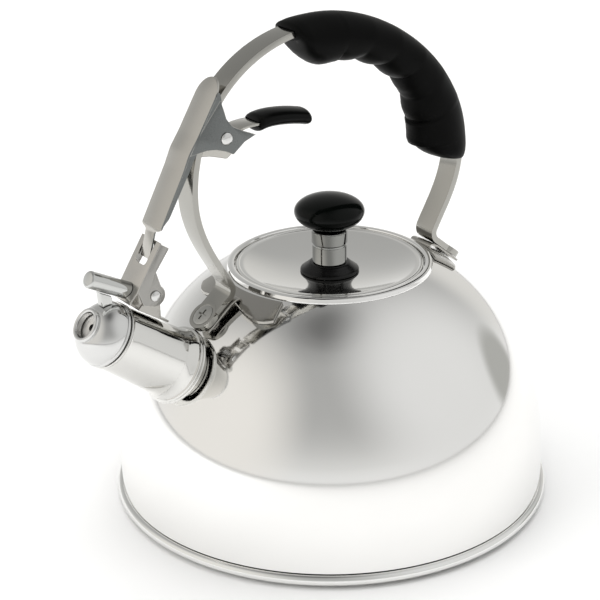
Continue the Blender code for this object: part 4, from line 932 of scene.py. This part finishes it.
grip_black = moulded("grip_black", (0.0015, 0.0016, 0.0015), 0.42, 0.06, 2400.0, 0.35, 0.01)
finish_piece(grip, grip_black, 50)
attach(grip, "kettle_body")
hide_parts("handle_grip")

# ---------------------------------------------------------------- trigger hanger and rivet
# A satin steel block bracket is welded under the front of the strip. A domed rivet through it
# carries the trigger.

TRIGGER_PIVOT = (-0.0633, 0.19791)
RIVET_RADIUS = 0.0015
HEAD_RISE = 0.0013
RUNNING = 0.0002
ARM_WIDTH = 0.0160
CHEEK_SHEET = 0.0012


def near_pivot(x, z):
    return TRIGGER_PIVOT[0] + x, TRIGGER_PIVOT[1] + z


def all_near_pivot(*spots):
    return [near_pivot(x, z) for x, z in spots]


def cross_pin(pivot, radius, reach=0.02):
    """A round bar along Y through this pivot."""
    bpy.ops.object.select_all(action="DESELECT")
    bpy.ops.mesh.primitive_cylinder_add(
        vertices=40,
        radius=radius,
        depth=2 * reach,
        location=(pivot[0], 0, pivot[1]),
        rotation=(math.pi / 2, 0, 0),
    )
    bpy.ops.object.transform_apply(location=True, rotation=True, scale=True)
    return bpy.context.object


satin_trigger = brushed("satin_trigger", (0.52, 0.51, 0.48), 0.16, (300, 900, 300), 0.10)
hanger_half = STRIP_WIDTH / 2 - 0.0003
hanger = pressed(
    "hanger_bracket",
    all_near_pivot((-0.0267, -0.0049), (-0.0082, -0.0074), (-0.0027, -0.0091), (0.0002, -0.0101))
    + all_near_pivot((0.0014, -0.0102), (0.0046, -0.0080), (0.0050, -0.0072), (0.0045, -0.0005))
    + all_near_pivot((0.0040, 0.0027), (0.0030, 0.0038), (-0.0007, 0.0061), (-0.0167, 0.0101)),
    -hanger_half,
    hanger_half,
)
soften(hanger, 0.0004, 3, 60)
front_leg = [(FRONT_WAIST[0], FRONT_WAIST[1] - 0.020), FRONT_WAIST] + front_crown()
above = offset_line(front_leg, STRIP_THICKNESS / 2 + 0.030)
under = offset_line(front_leg, -STRIP_THICKNESS / 2 - SEAM)
cut(hanger, pressed("strip_way_tool", above + under[::-1], -half - SEAM, half + SEAM))
cut(hanger, cross_pin(TRIGGER_PIVOT, RIVET_RADIUS + SEAM))
finish_piece(hanger, satin_trigger, 35)
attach(hanger, "kettle_body")
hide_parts("trigger_hanger")

bright_chrome = polished("bright_chrome", (0.72, 0.72, 0.715), 0.06, 0.04, 0.08)


def rivet(name, pivot, reach, head):
    """A pin along Y with a domed head outside each face at y = reach."""
    face = reach + RUNNING
    turns = [math.radians(90 * i / 12) for i in range(12)]
    dome = [(head * math.cos(a), face + HEAD_RISE * math.sin(a)) for a in turns] + [(0, face + HEAD_RISE)]
    top = [(RIVET_RADIUS, face), (head - 0.0001, face)] + dome
    section = top + [(radius, -along) for radius, along in reversed(top)]
    # drawn in the XZ plane with its length along Z, then laid along Y through the pivot
    piece = spun(name, section, steps=64)
    quarter_turn("X", (pivot[0], 0, pivot[1]))
    return piece


trigger_rivet = rivet("trigger_pivot_rivet", TRIGGER_PIVOT, ARM_WIDTH / 2, 0.0031)
finish_piece(trigger_rivet, bright_chrome, 40)
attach(trigger_rivet, "kettle_body")
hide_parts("trigger_rivet")

# ---------------------------------------------------------------- trigger channel
# One satin steel pressing: a long rounded arm down the front of the strip, two cheeks that straddle
# the hanger, and a narrow tongue that pulls on the cap lever.

LEVER_TOP = (-0.10026, 0.15565)
LEVER_FOOT = (-0.11370, 0.13457)
LEVER_PITCH = math.radians(57.5)
LEVER_LENGTH = 0.0250
LEVER_SHEET = 0.0010
LEVER_HALF = 0.0080


def lever_point(down, inward=0.0):
    """(x, z) this far down the cap lever's face from its top end, and this far behind it."""
    x = LEVER_TOP[0] - down * math.cos(LEVER_PITCH) + inward * math.sin(LEVER_PITCH)
    z = LEVER_TOP[1] - down * math.sin(LEVER_PITCH) - inward * math.cos(LEVER_PITCH)
    return x, z


ARM_SHEET = 0.0010
ARM_TOP = near_pivot(-0.0008, 0.0274)
ARM_KNEE = (FRONT_WAIST[0] - 0.0036, FRONT_WAIST[1] + 0.0223)
TONGUE_PITCH = math.radians(75)
TONGUE_HALF = 0.0037
bridge = lever_point(0.0017 / 2, -(LEVER_SHEET + ARM_SHEET) / 2 - 0.0003)


def tongue_point(up):
    return bridge[0] + up * math.cos(TONGUE_PITCH), bridge[1] + up * math.sin(TONGUE_PITCH)


def paint_shade_on_sides(piece, material):
    """Give the flat faces at a pressing's two sides a darker copy of its steel, as painted shade on the
    sheet's sides.
    """
    piece.data.materials.append(material)
    for face in piece.data.polygons:
        if abs(face.normal.y) > 0.97:
            face.material_index = 1


def eased_bends(points, span, steps=6):
    """The line with each inside corner rounded over this span."""
    line = [points[0]]
    for before, corner, after in zip(points, points[1:], points[2:]):
        pair = []
        for other in (before, after):
            run = math.hypot(other[0] - corner[0], other[1] - corner[1])
            share = min(span, run * 0.45) / run
            pair.append(tuple(here + (there - here) * share for here, there in zip(corner, other)))
        line += [pair[0]] + bezier(pair[0], corner, corner, pair[1], steps)
    return line + [points[-1]]


shoulder = tongue_point(0.0052)
tip = tongue_point(-0.0085)
arm_line = eased_bends(
    [ARM_TOP, (ARM_KNEE[0] + 0.0052, ARM_KNEE[1] + 0.0068), (ARM_KNEE[0] + 0.0003, ARM_KNEE[1] - 0.0003)]
    + [(ARM_KNEE[0] - 0.0030, ARM_KNEE[1] - 0.0078), shoulder, tip],
    0.0030,
)
arm_half = ARM_WIDTH / 2
channel = pressed("trigger_pressing", sheet_outline(arm_line, ARM_SHEET), -arm_half, arm_half)
plan = [(-TONGUE_HALF, tip[1] - 0.003), (TONGUE_HALF, tip[1] - 0.003), (TONGUE_HALF, shoulder[1] - 0.0012)]
shoulder_ends = [(arm_half, shoulder[1] - 0.0002), (arm_half, shoulder[1] + 0.0016)]
plan += bezier(plan[-1], (TONGUE_HALF, shoulder[1] + 0.0002), *shoulder_ends, 8)
plan += arc(0, ARM_TOP[1] - arm_half, arm_half, 0, 180, 32)
plan.append((-arm_half, shoulder[1] + 0.0016))
tongue_ends = [(-TONGUE_HALF, shoulder[1] + 0.0002), (-TONGUE_HALF, shoulder[1] - 0.0012)]
plan += bezier(plan[-1], (-arm_half, shoulder[1] - 0.0002), *tongue_ends, 8)
outline_tool = pressed("arm_plan_tool", plan, -0.13, 0.13)
quarter_turn("Z")
cut(channel, outline_tool, "INTERSECT")
soften(channel, 0.00025, 2, 50)


def spaced(line, gap):
    """The line with points added, so that none are further apart than this gap."""
    points = [line[0]]
    for (x0, z0), (x1, z1) in zip(line, line[1:]):
        pieces = max(1, math.ceil(math.hypot(x1 - x0, z1 - z0) / gap))
        points += [(x0 + (x1 - x0) * i / pieces, z0 + (z1 - z0) * i / pieces) for i in range(1, pieces + 1)]
    return points


def add_sides(piece, outline, outer, inner, edge=0.0002):
    """Join a flat plate to each side of a piece, between y = inner and y = outer."""
    for side in (-1, 1):
        low, high = sorted((side * outer, side * inner))
        plate = pressed("side_tool", outline, low, high)
        if edge:
            soften(plate, edge, 2, 60)
        cut(piece, plate, "UNION")


# two folded side walls run the arm's whole length, and are shallower towards the tongue
WALL_DEPTH = 0.0050
WALL_INSET = 0.00006
wall_foot = shoulder[1] + 0.0022
wall_top = ARM_TOP[1] - 0.0040
wall_line = [spot for spot in spaced(arm_line, 0.002) if wall_foot < spot[1] < wall_top]
last = len(wall_line) - 1
depths = []
for i in range(last + 1):
    rounding = min(1.0, 0.25 + i / 3, 0.25 + (last - i) / 3)
    depths.append(WALL_DEPTH * (1 - 0.65 * i / last) * rounding)
inner_edge = [
    (x + (far[0] - x) * depth / 0.001, z + (far[1] - z) * depth / 0.001)
    for (x, z), far, depth in zip(wall_line, offset_line(wall_line, 0.001), depths)
]
# they stand a hair inside the sides, so that no two faces of the joined pieces lie in one plane
add_sides(channel, wall_line + inner_edge[::-1], arm_half - WALL_INSET, arm_half - ARM_SHEET, edge=0)
cheek_line = eased_bends(
    all_near_pivot((-0.0027, 0.0186), (-0.0010, 0.0136), (0.0003, 0.0091))
    + all_near_pivot((0.0035, 0.0051), (0.0093, 0.0019), (0.0161, -0.0011)),
    0.0014,
)
cheek_line += eased_bends(
    all_near_pivot((0.0098, -0.0034), (0.0035, -0.0083), (-0.0007, -0.0061))
    + all_near_pivot((-0.0057, -0.0043), (-0.0107, -0.0037)),
    0.0014,
)
cheek_line += [(ARM_KNEE[0] + 0.0006, ARM_KNEE[1] - 0.0010), (ARM_KNEE[0] + 0.0052, ARM_KNEE[1] + 0.0068)]
add_sides(channel, cheek_line, arm_half, arm_half - CHEEK_SHEET)
cut(channel, cross_pin(TRIGGER_PIVOT, RIVET_RADIUS + RUNNING))
finish_piece(channel, satin_trigger, 35)
# a much darker copy of the satin trigger steel: painted shade on the channel's flat side faces
channel_side_painted_shade = brushed("channel_side_painted_shade", (0.17, 0.18, 0.18), 0.24, (400, 400, 400), 0.12)
paint_shade_on_sides(channel, channel_side_painted_shade)
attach(channel, "trigger")
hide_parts("trigger_channel")

# ---------------------------------------------------------------- thumb lever
# A bent steel strip runs back from between the cheeks, under the arch, and ends in a soft black pad
# that the thumb pulls up.


def thumb_line(steps):
    start = near_pivot(0.0063, 0.0006)
    bends = (near_pivot(0.0143, 0.0051), near_pivot(0.0293, 0.0006))
    return [start] + bezier(start, *bends, near_pivot(0.0480, 0.0006), steps)


THUMB_SHEET = 0.0012
thumb_half = 0.0059
thumb = pressed("thumb_strip", sheet_outline(thumb_line(32), THUMB_SHEET), -thumb_half, thumb_half)
soften(thumb, 0.0002, 2, 60)
finish_piece(thumb, satin_trigger, 35)
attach(thumb, "trigger")
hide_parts("thumb_lever")

pad_black = moulded("pad_black", (0.0015, 0.0016, 0.0015), 0.30, 0.12, 2400.0, 0.3, 0.01)
line = thumb_line(32)[13:]
line.append((line[-1][0] + 0.0006, line[-1][1] - 0.0004))
rings = []
for step in range(49):
    share = step / 48
    even = share - 0.14 * math.sin(math.tau * share) / math.tau
    spot = even * (len(line) - 1)
    k = min(int(spot), len(line) - 2)
    x, z, nx, nz = stand_on(line, k, spot - k, 1, 2)
    end = min(share / 0.10, (1 - share) / 0.10, 1.0)
    full = 0.45 + 0.55 * math.sqrt(max(0.0, 1 - (1 - end) ** 2))
    arch = 0.0024 * (1 - (2 * share - 1) ** 2) - 0.0010
    rings.append((x + nx * arch, z + nz * arch, (nx, nz), 0.0040 * full, 0.0079 * (0.55 + 0.45 * full)))
pad = lofted("thumb_pad_moulding", rings, 40)
way = sheet_outline(thumb_line(32), THUMB_SHEET + 2 * SEAM)
cut(pad, pressed("pad_way_tool", way, -thumb_half - SEAM, thumb_half + SEAM))
finish_piece(pad, pad_black, 50)
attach(pad, "trigger")
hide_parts("thumb_pad")

# ---------------------------------------------------------------- cap post, rivet and spring
# A thin steel saddle is welded on the sleeve. Its two ears carry a chromed rivet, and a wire spring
# coiled on the rivet pushes the cap shut.

CAP_PIVOT = (-0.10444, 0.13083)
POST_SHEET = 0.0012
POST_TOE = 0.0042
POST_HEEL = 0.0225
POST_SHOULDER = 0.0175
EAR_RADIUS = 0.0036
post_half = 0.0059
post_base = SEAM + 0.0006
web_top = post_base + 0.0010


def sleeve_top(distance, lift):
    return spout_point(-distance, sleeve_radius(distance) + lift)


outline = [sleeve_top(POST_TOE, post_base), sleeve_top(POST_HEEL, post_base)]
outline += [sleeve_top(POST_HEEL, web_top), sleeve_top(POST_SHOULDER, web_top)]
outline += arc(*CAP_PIVOT, EAR_RADIUS, -20, 200, 28) + [sleeve_top(POST_TOE, web_top)]
post = pressed("cap_saddle", outline, -post_half, post_half)
soften(post, 0.0002, 2, 60)
gap = [sleeve_top(-0.0098, post_base + POST_SHEET), sleeve_top(0.0365, post_base + POST_SHEET)]
gap += [(CAP_PIVOT[0] + 0.030, CAP_PIVOT[1] + 0.020), (CAP_PIVOT[0] - 0.030, CAP_PIVOT[1] + 0.020)]
cut(post, pressed("gap_tool", gap, POST_SHEET - post_half, post_half - POST_SHEET))
cut(post, cross_pin(CAP_PIVOT, RIVET_RADIUS + SEAM))
below_saddle = [(0, 0.006), (SLEEVE_FRONT + 0.0009, 0.006), (SLEEVE_FRONT + 0.0009, -0.0017)]
below_saddle += [(sleeve_radius(along) + SEAM, -along) for along in (0.0022, 0.0400)] + [(0, -0.0400)]
cut(post, spun_on_spout("sleeve_tool", below_saddle))
finish_piece(post, satin_bracket, 35)
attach(post, "kettle_body")
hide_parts("cap_post")

cap_rivet = rivet("cap_pivot_rivet", CAP_PIVOT, LEVER_HALF, 0.0027)
finish_piece(cap_rivet, bright_chrome, 40)
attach(cap_rivet, "kettle_body")
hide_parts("cap_rivet")

# the spring's wire, drawn as a line with thickness and turned into a mesh
WIRE = 0.0005
COILS = 5
coil = RIVET_RADIUS + SEAM + WIRE + 0.0003
reach = post_half - POST_SHEET - SEAM - WIRE
path = []
for step in range(COILS * 32 + 1):
    turn = math.tau * step / 32
    y = -reach + 2 * reach * step / (COILS * 32)
    path.append((CAP_PIVOT[0] + coil * math.cos(turn), y, CAP_PIVOT[1] + coil * math.sin(turn)))
down = (0.25 / math.hypot(0.25, 1), -1 / math.hypot(0.25, 1))
up = (-0.35 / math.hypot(0.35, 1), 1 / math.hypot(0.35, 1))
path = [(path[0][0] + down[0] * d, path[0][1], path[0][2] + down[1] * d) for d in (0.0042, 0.0018)] + path
path += [(path[-1][0] + up[0] * d, path[-1][1], path[-1][2] + up[1] * d) for d in (0.0022, 0.0060)]
wire_curve = bpy.data.curves.new("spring_wire", "CURVE")
wire_curve.dimensions = "3D"
run_line = wire_curve.splines.new("POLY")
run_line.points.add(len(path) - 1)
for point, place in zip(run_line.points, path):
    point.co = (*place, 1)
wire_curve.bevel_depth = WIRE
wire_curve.bevel_resolution = 3
wire_curve.use_fill_caps = True
spring = bpy.data.objects.new("wire_spring", wire_curve)
bpy.context.scene.collection.objects.link(spring)
pick(spring)
bpy.ops.object.convert(target="MESH")
spring = bpy.context.object
finish_piece(spring, turned_steel, 50)
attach(spring, "kettle_body")
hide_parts("cap_spring")

# ---------------------------------------------------------------- cap lever
# A pressed steel channel, open at the back. Its face has a long slot for the trigger's tongue, its
# cheeks turn on the rivet, and its foot is bent over onto the cap.

CAP_RADIUS = 0.0160
CAP_BEAD = 0.0011
CAP_LENGTH = 0.0150
SLOT_START = 0.0017
SLOT_END = 0.0125
SLOT_HALF = 0.0044
landing = spout_point(CAP_BEAD * 2 + SEAM, CAP_RADIUS + SEAM + LEVER_SHEET * 0.8)
lever_face = [LEVER_TOP, LEVER_FOOT]
lever_face += bezier(
    LEVER_FOOT, lever_point(LEVER_LENGTH + 0.0025), (landing[0], landing[1] + 0.0022), landing, 14
)
cap_lever = pressed("cap_lever_pressing", sheet_outline(lever_face, LEVER_SHEET), -LEVER_HALF, LEVER_HALF)
soften(cap_lever, 0.00025, 2, 60)
cheek_line = [lever_point(0.0005, 0.0001), lever_point(0.0006, 0.0046)]
top_corner = lever_point(0.0006, 0.0052)
cheek_line += bezier(cheek_line[-1], top_corner, top_corner, lever_point(0.0016, 0.0052), 4)
cheek_line += [lever_point(LEVER_LENGTH * 0.52, 0.0044)] + arc(*CAP_PIVOT, 0.0052, 52, -118, 28)
cheek_line += [(CAP_PIVOT[0] - 0.0064, CAP_PIVOT[1] - 0.0034), lever_point(LEVER_LENGTH - 0.0003, 0.0001)]
add_sides(cap_lever, cheek_line, LEVER_HALF, LEVER_HALF - LEVER_SHEET)
# the slot is cut by two crossed bars, and a round pin in each corner
corner = 0.0016
for inset, side in ((0.0, SLOT_HALF - corner), (corner, SLOT_HALF)):
    low = SLOT_START + inset
    high = SLOT_END - inset
    bar = [lever_point(low, -0.003), lever_point(low, 0.0022)]
    bar += [lever_point(high, 0.0022), lever_point(high, -0.003)]
    cut(cap_lever, pressed("slot_tool", bar, -side, side))
for down in (SLOT_START + corner, SLOT_END - corner):
    for side in (-1, 1):
        spot = lever_point(down, 0.0)
        bpy.ops.object.select_all(action="DESELECT")
        bpy.ops.mesh.primitive_cylinder_add(
            vertices=32,
            radius=corner,
            depth=0.0044,
            location=(spot[0], side * (SLOT_HALF - corner), spot[1]),
            rotation=(0, LEVER_PITCH + math.pi / 2, 0),
        )
        bpy.ops.object.transform_apply(location=True, rotation=True, scale=True)
        cut(cap_lever, bpy.context.object)
cut(cap_lever, cross_pin(CAP_PIVOT, RIVET_RADIUS + RUNNING))
# a darker copy of the lever's steel: painted shade on the cap lever's flat side faces
lever_painted_shade = brushed("lever_painted_shade", (0.36, 0.355, 0.34), 0.2, (400, 400, 400), 0.12)
lever_steel = brushed("lever_steel", (0.58, 0.565, 0.535), 0.18, (60, 700, 60), 0.18)
finish_piece(cap_lever, lever_steel, 35)
paint_shade_on_sides(cap_lever, lever_painted_shade)
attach(cap_lever, "cap")
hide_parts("cap_lever")

# ---------------------------------------------------------------- whistle cap
# A chromed bell closes the sleeve. Behind its rolled lip two thin steel plates with small holes make
# the whistle, and a silicone ring at the back seals it.

LIP_RADIUS = 0.0083
LIP_BEAD = 0.0011
bead = arc(CAP_RADIUS - CAP_BEAD, CAP_BEAD + SEAM, CAP_BEAD, -90, 60, 18)
bell_end = (LIP_RADIUS - 0.0004, CAP_LENGTH - 2 * LIP_BEAD)
bell_side = (CAP_RADIUS - 0.0004, CAP_LENGTH * 0.5)
bell_neck = (LIP_RADIUS + 0.0026, CAP_LENGTH * 0.8)
bell = bezier(bead[-1], bell_side, bell_neck, bell_end, 28)
lip = arc(LIP_RADIUS - LIP_BEAD, CAP_LENGTH - LIP_BEAD, LIP_BEAD, -50, 200, 24)
lip_inner = LIP_RADIUS - 2 * LIP_BEAD
cap = spun_on_spout(
    "whistle_bell",
    bead
    + bell
    + lip
    + [(lip_inner + 0.0002, CAP_LENGTH - 3.2 * LIP_BEAD), (lip_inner + 0.0016, CAP_LENGTH - 3.6 * LIP_BEAD)]
    + [(CAP_RADIUS - 0.0042, CAP_LENGTH * 0.52), (CAP_RADIUS - 0.0017, CAP_LENGTH * 0.25)]
    + [(CAP_RADIUS - 0.0017, 2 * CAP_BEAD), (CAP_RADIUS - 2 * CAP_BEAD + 0.0004, CAP_BEAD + SEAM)],
    128,
)
finish_piece(cap, bright_chrome, 40)
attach(cap, "cap")
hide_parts("cap_dome")

WHISTLE_HOLE = 0.0016
plate_front = CAP_LENGTH - 3.6 * LIP_BEAD - SEAM
whistle = spun_on_spout(
    "whistle_disc",
    [(WHISTLE_HOLE, plate_front - 0.0008), (WHISTLE_HOLE, plate_front - 0.00012)]
    + [(WHISTLE_HOLE + 0.0003, plate_front), (lip_inner + 0.0010, plate_front)]
    + [(lip_inner + 0.0010, plate_front - 0.0008)],
    96,
)
whistle_steel = brushed("whistle_steel", (0.80, 0.79, 0.77), 0.32, (300, 300, 300), 0.2)
finish_piece(whistle, whistle_steel, 40)
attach(whistle, "cap")
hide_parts("whistle_front_plate")
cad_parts["whistle_rear_plate"].data.materials[0] = turned_steel
seal_rubber = moulded("seal_rubber", (0.30, 0.30, 0.30), 0.55, 0.4, 1400.0, 0.3, 0.05)
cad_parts["cap_seal"].data.materials[0] = seal_rubber

# ---------------------------------------------------------------- thumb bar and lug
# A round chromed bar stands out from the lever's foot for opening the cap by hand. A small lug
# joins it to the cap.

BAR_RADIUS = 0.0041
BAR_LENGTH = 0.0240
BAR_PITCH = math.radians(27.6)
bar_start = (LEVER_FOOT[0] + 0.0002, LEVER_FOOT[1] - 0.0014)


def bar_point(side, along):
    """(x, z) this far along the thumb bar, and this far over its axis."""
    x = bar_start[0] - along * math.cos(BAR_PITCH) + side * math.sin(BAR_PITCH)
    z = bar_start[1] + along * math.sin(BAR_PITCH) + side * math.cos(BAR_PITCH)
    return x, z


nose = []
for step in range(9):
    turn = math.radians(10 * step)
    side = BAR_RADIUS - 0.0012 + 0.0012 * math.cos(turn)
    nose.append((side, BAR_LENGTH - 0.0016 + 0.0014 * math.sin(turn)))
nose += [(BAR_RADIUS * 0.4, BAR_LENGTH - 0.00008), (0, BAR_LENGTH)]
bar_line = [bar_point(*spot) for spot in [(0, 0.0010), (BAR_RADIUS, 0.0010)] + nose]
bar_axis = (-math.cos(BAR_PITCH), 0, math.sin(BAR_PITCH))
bar = spun("thumb_bar_rod", bar_line, (bar_start[0], 0, bar_start[1]), bar_axis, 72)
behind = offset_line(lever_face, -LEVER_SHEET / 2 - SEAM)
behind += [(LEVER_FOOT[0] + 0.020, behind[-1][1]), (LEVER_TOP[0] + 0.020, LEVER_TOP[1])]
cut(bar, pressed("behind_tool", behind, -0.016, 0.016))
bar_chrome = polished("bar_chrome", (0.62, 0.625, 0.615), 0.05, 0.03, 0.08)
finish_piece(bar, bar_chrome, 40)
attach(bar, "cap")
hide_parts("thumb_bar")

lug_line = [bar_point(-BAR_RADIUS - SEAM, BAR_LENGTH * share) for share in (0.66, 0.40)]
lug_line += [spout_point(0.0066, CAP_RADIUS - 0.0030), spout_point(0.0110, CAP_RADIUS - 0.0062)]
lug = pressed("bar_foot", lug_line, -0.0022, 0.0022)
soften(lug, 0.0003, 3, 60)
skin = [(radius + SEAM, along + SEAM) for radius, along in bead + bell + lip]
cut(lug, spun_on_spout("cap_skin_tool", [(0, skin[0][1])] + skin + [(0, skin[-1][1])]))
finish_piece(lug, bar_chrome, 40)
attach(lug, "cap")
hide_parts("bar_lug")

# ---------------------------------------------------------------- lid
# A shallow dished steel lid with a rolled edge, buffed to a mirror. A short plug ring under it keeps
# it in the opening.

LID_SHEET = 0.0008
LID_ROLL = 0.0011
LID_DISH = 0.0050
COLLAR_RADIUS = 0.0145
LID_RADIUS = RING_INNER - 0.0008


def lid_top(radius):
    """The lid's upper face: flat under the collar and rising to the rolled edge."""
    share = min(max(radius, COLLAR_RADIUS) / (SEAT_INNER - 0.0010), 1.0)
    return SEAT_TOP + SEAM + 2 * LID_ROLL - 0.0004 - LID_DISH * (1 - share**2.6)


spans = [SCREW_BORE, COLLAR_RADIUS] + [COLLAR_RADIUS + 0.0006 * i for i in range(1, 50)]
upper = [(r, lid_top(r)) for r in spans if r < LID_RADIUS - 2 * LID_ROLL]
lower = [(r, z - LID_SHEET) for r, z in upper]
roll = arc(LID_RADIUS - LID_ROLL, SEAT_TOP + SEAM + LID_ROLL, LID_ROLL, 140, -160, 32)
lid_steel = polished("lid_steel", (0.86, 0.855, 0.84), 0.05, 0.04, 0.06)
lid = spun("mirror_lid", lower[::-1] + upper + roll, steps=192)
finish_piece(lid, lid_steel, 40)
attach(lid, "lid_group")
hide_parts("lid")
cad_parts["lid_plug_ring"].data.materials[0] = turned_steel

# ---------------------------------------------------------------- knob
# A black heat collar, a chromed ferrule and a glossy black knob are stacked on one long screw, which
# comes up through the lid into a brass insert.

FERRULE_RADIUS = 0.0088
FERRULE_HEIGHT = 0.0165
KNOB_RADIUS = 0.0173
KNOB_CROWN = 0.0083
KNOB_BELLY = 0.0092
lid_face = lid_top(COLLAR_RADIUS) + SEAM
collar_top = lid_face + 0.0045
collar_black = moulded("collar_black", (0.003, 0.003, 0.003), 0.22, 0.25, 900.0, 0.1, 0.01)
slope = bezier(
    (COLLAR_RADIUS - 0.0004, lid_face + 0.0011),
    (COLLAR_RADIUS - 0.0014, lid_face + 0.0016),
    (FERRULE_RADIUS + 0.0034, collar_top - 0.0020),
    (FERRULE_RADIUS + 0.0018, collar_top - 0.0008),
    12,
)
collar = spun(
    "heat_collar_moulding",
    [(SCREW_BORE, lid_face), (SCREW_BORE, collar_top), (FERRULE_RADIUS + 0.0006, collar_top)]
    + [(FERRULE_RADIUS + 0.0012, collar_top - 0.0002)]
    + slope[::-1]
    + [(COLLAR_RADIUS - 0.0001, lid_face + 0.0008)]
    + [(COLLAR_RADIUS, lid_face + 0.0005), (COLLAR_RADIUS, lid_face)],
    steps=96,
)
finish_piece(collar, collar_black, 40)
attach(collar, "lid_group")
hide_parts("heat_collar")

foot = collar_top + SEAM
top = foot + FERRULE_HEIGHT
groove = foot + FERRULE_HEIGHT * 0.56
ferrule_chrome = polished("ferrule_chrome", (0.44, 0.445, 0.435), 0.06, 0.05, 0.08)
ferrule = spun(
    "chromed_ferrule",
    [(SCREW_BORE, foot), (SCREW_BORE, top), (FERRULE_RADIUS - 0.0003, top), (FERRULE_RADIUS, top - 0.0003)]
    + [(FERRULE_RADIUS, groove + 0.0009), (FERRULE_RADIUS - 0.0002, groove + 0.0006)]
    + arc(FERRULE_RADIUS - 0.0001, groove - 0.0002, 0.0006, 110, 250, 10)
    + [(FERRULE_RADIUS - 0.0003, groove - 0.0009), (FERRULE_RADIUS - 0.0003, foot + 0.0003)]
    + [(FERRULE_RADIUS - 0.0006, foot)],
    steps=96,
)
finish_piece(ferrule, ferrule_chrome, 35)
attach(ferrule, "lid_group")
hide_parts("knob_ferrule")

base = top + SEAM
middle = base + KNOB_BELLY
pocket = 0.0042 + SEAM
knob_gloss = moulded("knob_gloss", (0.0015, 0.0022, 0.0018), 0.12, 0.12, 600.0, 0.04, 0.01)
turns = [math.radians(34 + 2.8 * i) for i in range(20)]
belly = [(KNOB_RADIUS * math.sin(a), middle - KNOB_BELLY * math.cos(a)) for a in turns]
turns = [math.radians(90 * i / 32) for i in range(32)]
crown = [(KNOB_RADIUS * math.cos(a), middle + KNOB_CROWN * math.sin(a)) for a in turns]
knob = spun(
    "glossy_knob",
    [(0, middle + 0.0008), (pocket, middle + 0.0008), (pocket, base), (FERRULE_RADIUS - 0.0012, base)]
    + belly
    + crown
    + [(0, middle + KNOB_CROWN)],
    steps=128,
)
finish_piece(knob, knob_gloss, 35)
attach(knob, "lid_group")
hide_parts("knob")
brass = brushed("turned_brass", (0.78, 0.57, 0.27), 0.25, (500, 500, 500), 0.2)
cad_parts["knob_insert"].data.materials[0] = brass
for name in ("knob_washer", "knob_screw"):
    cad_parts[name].data.materials[0] = turned_steel
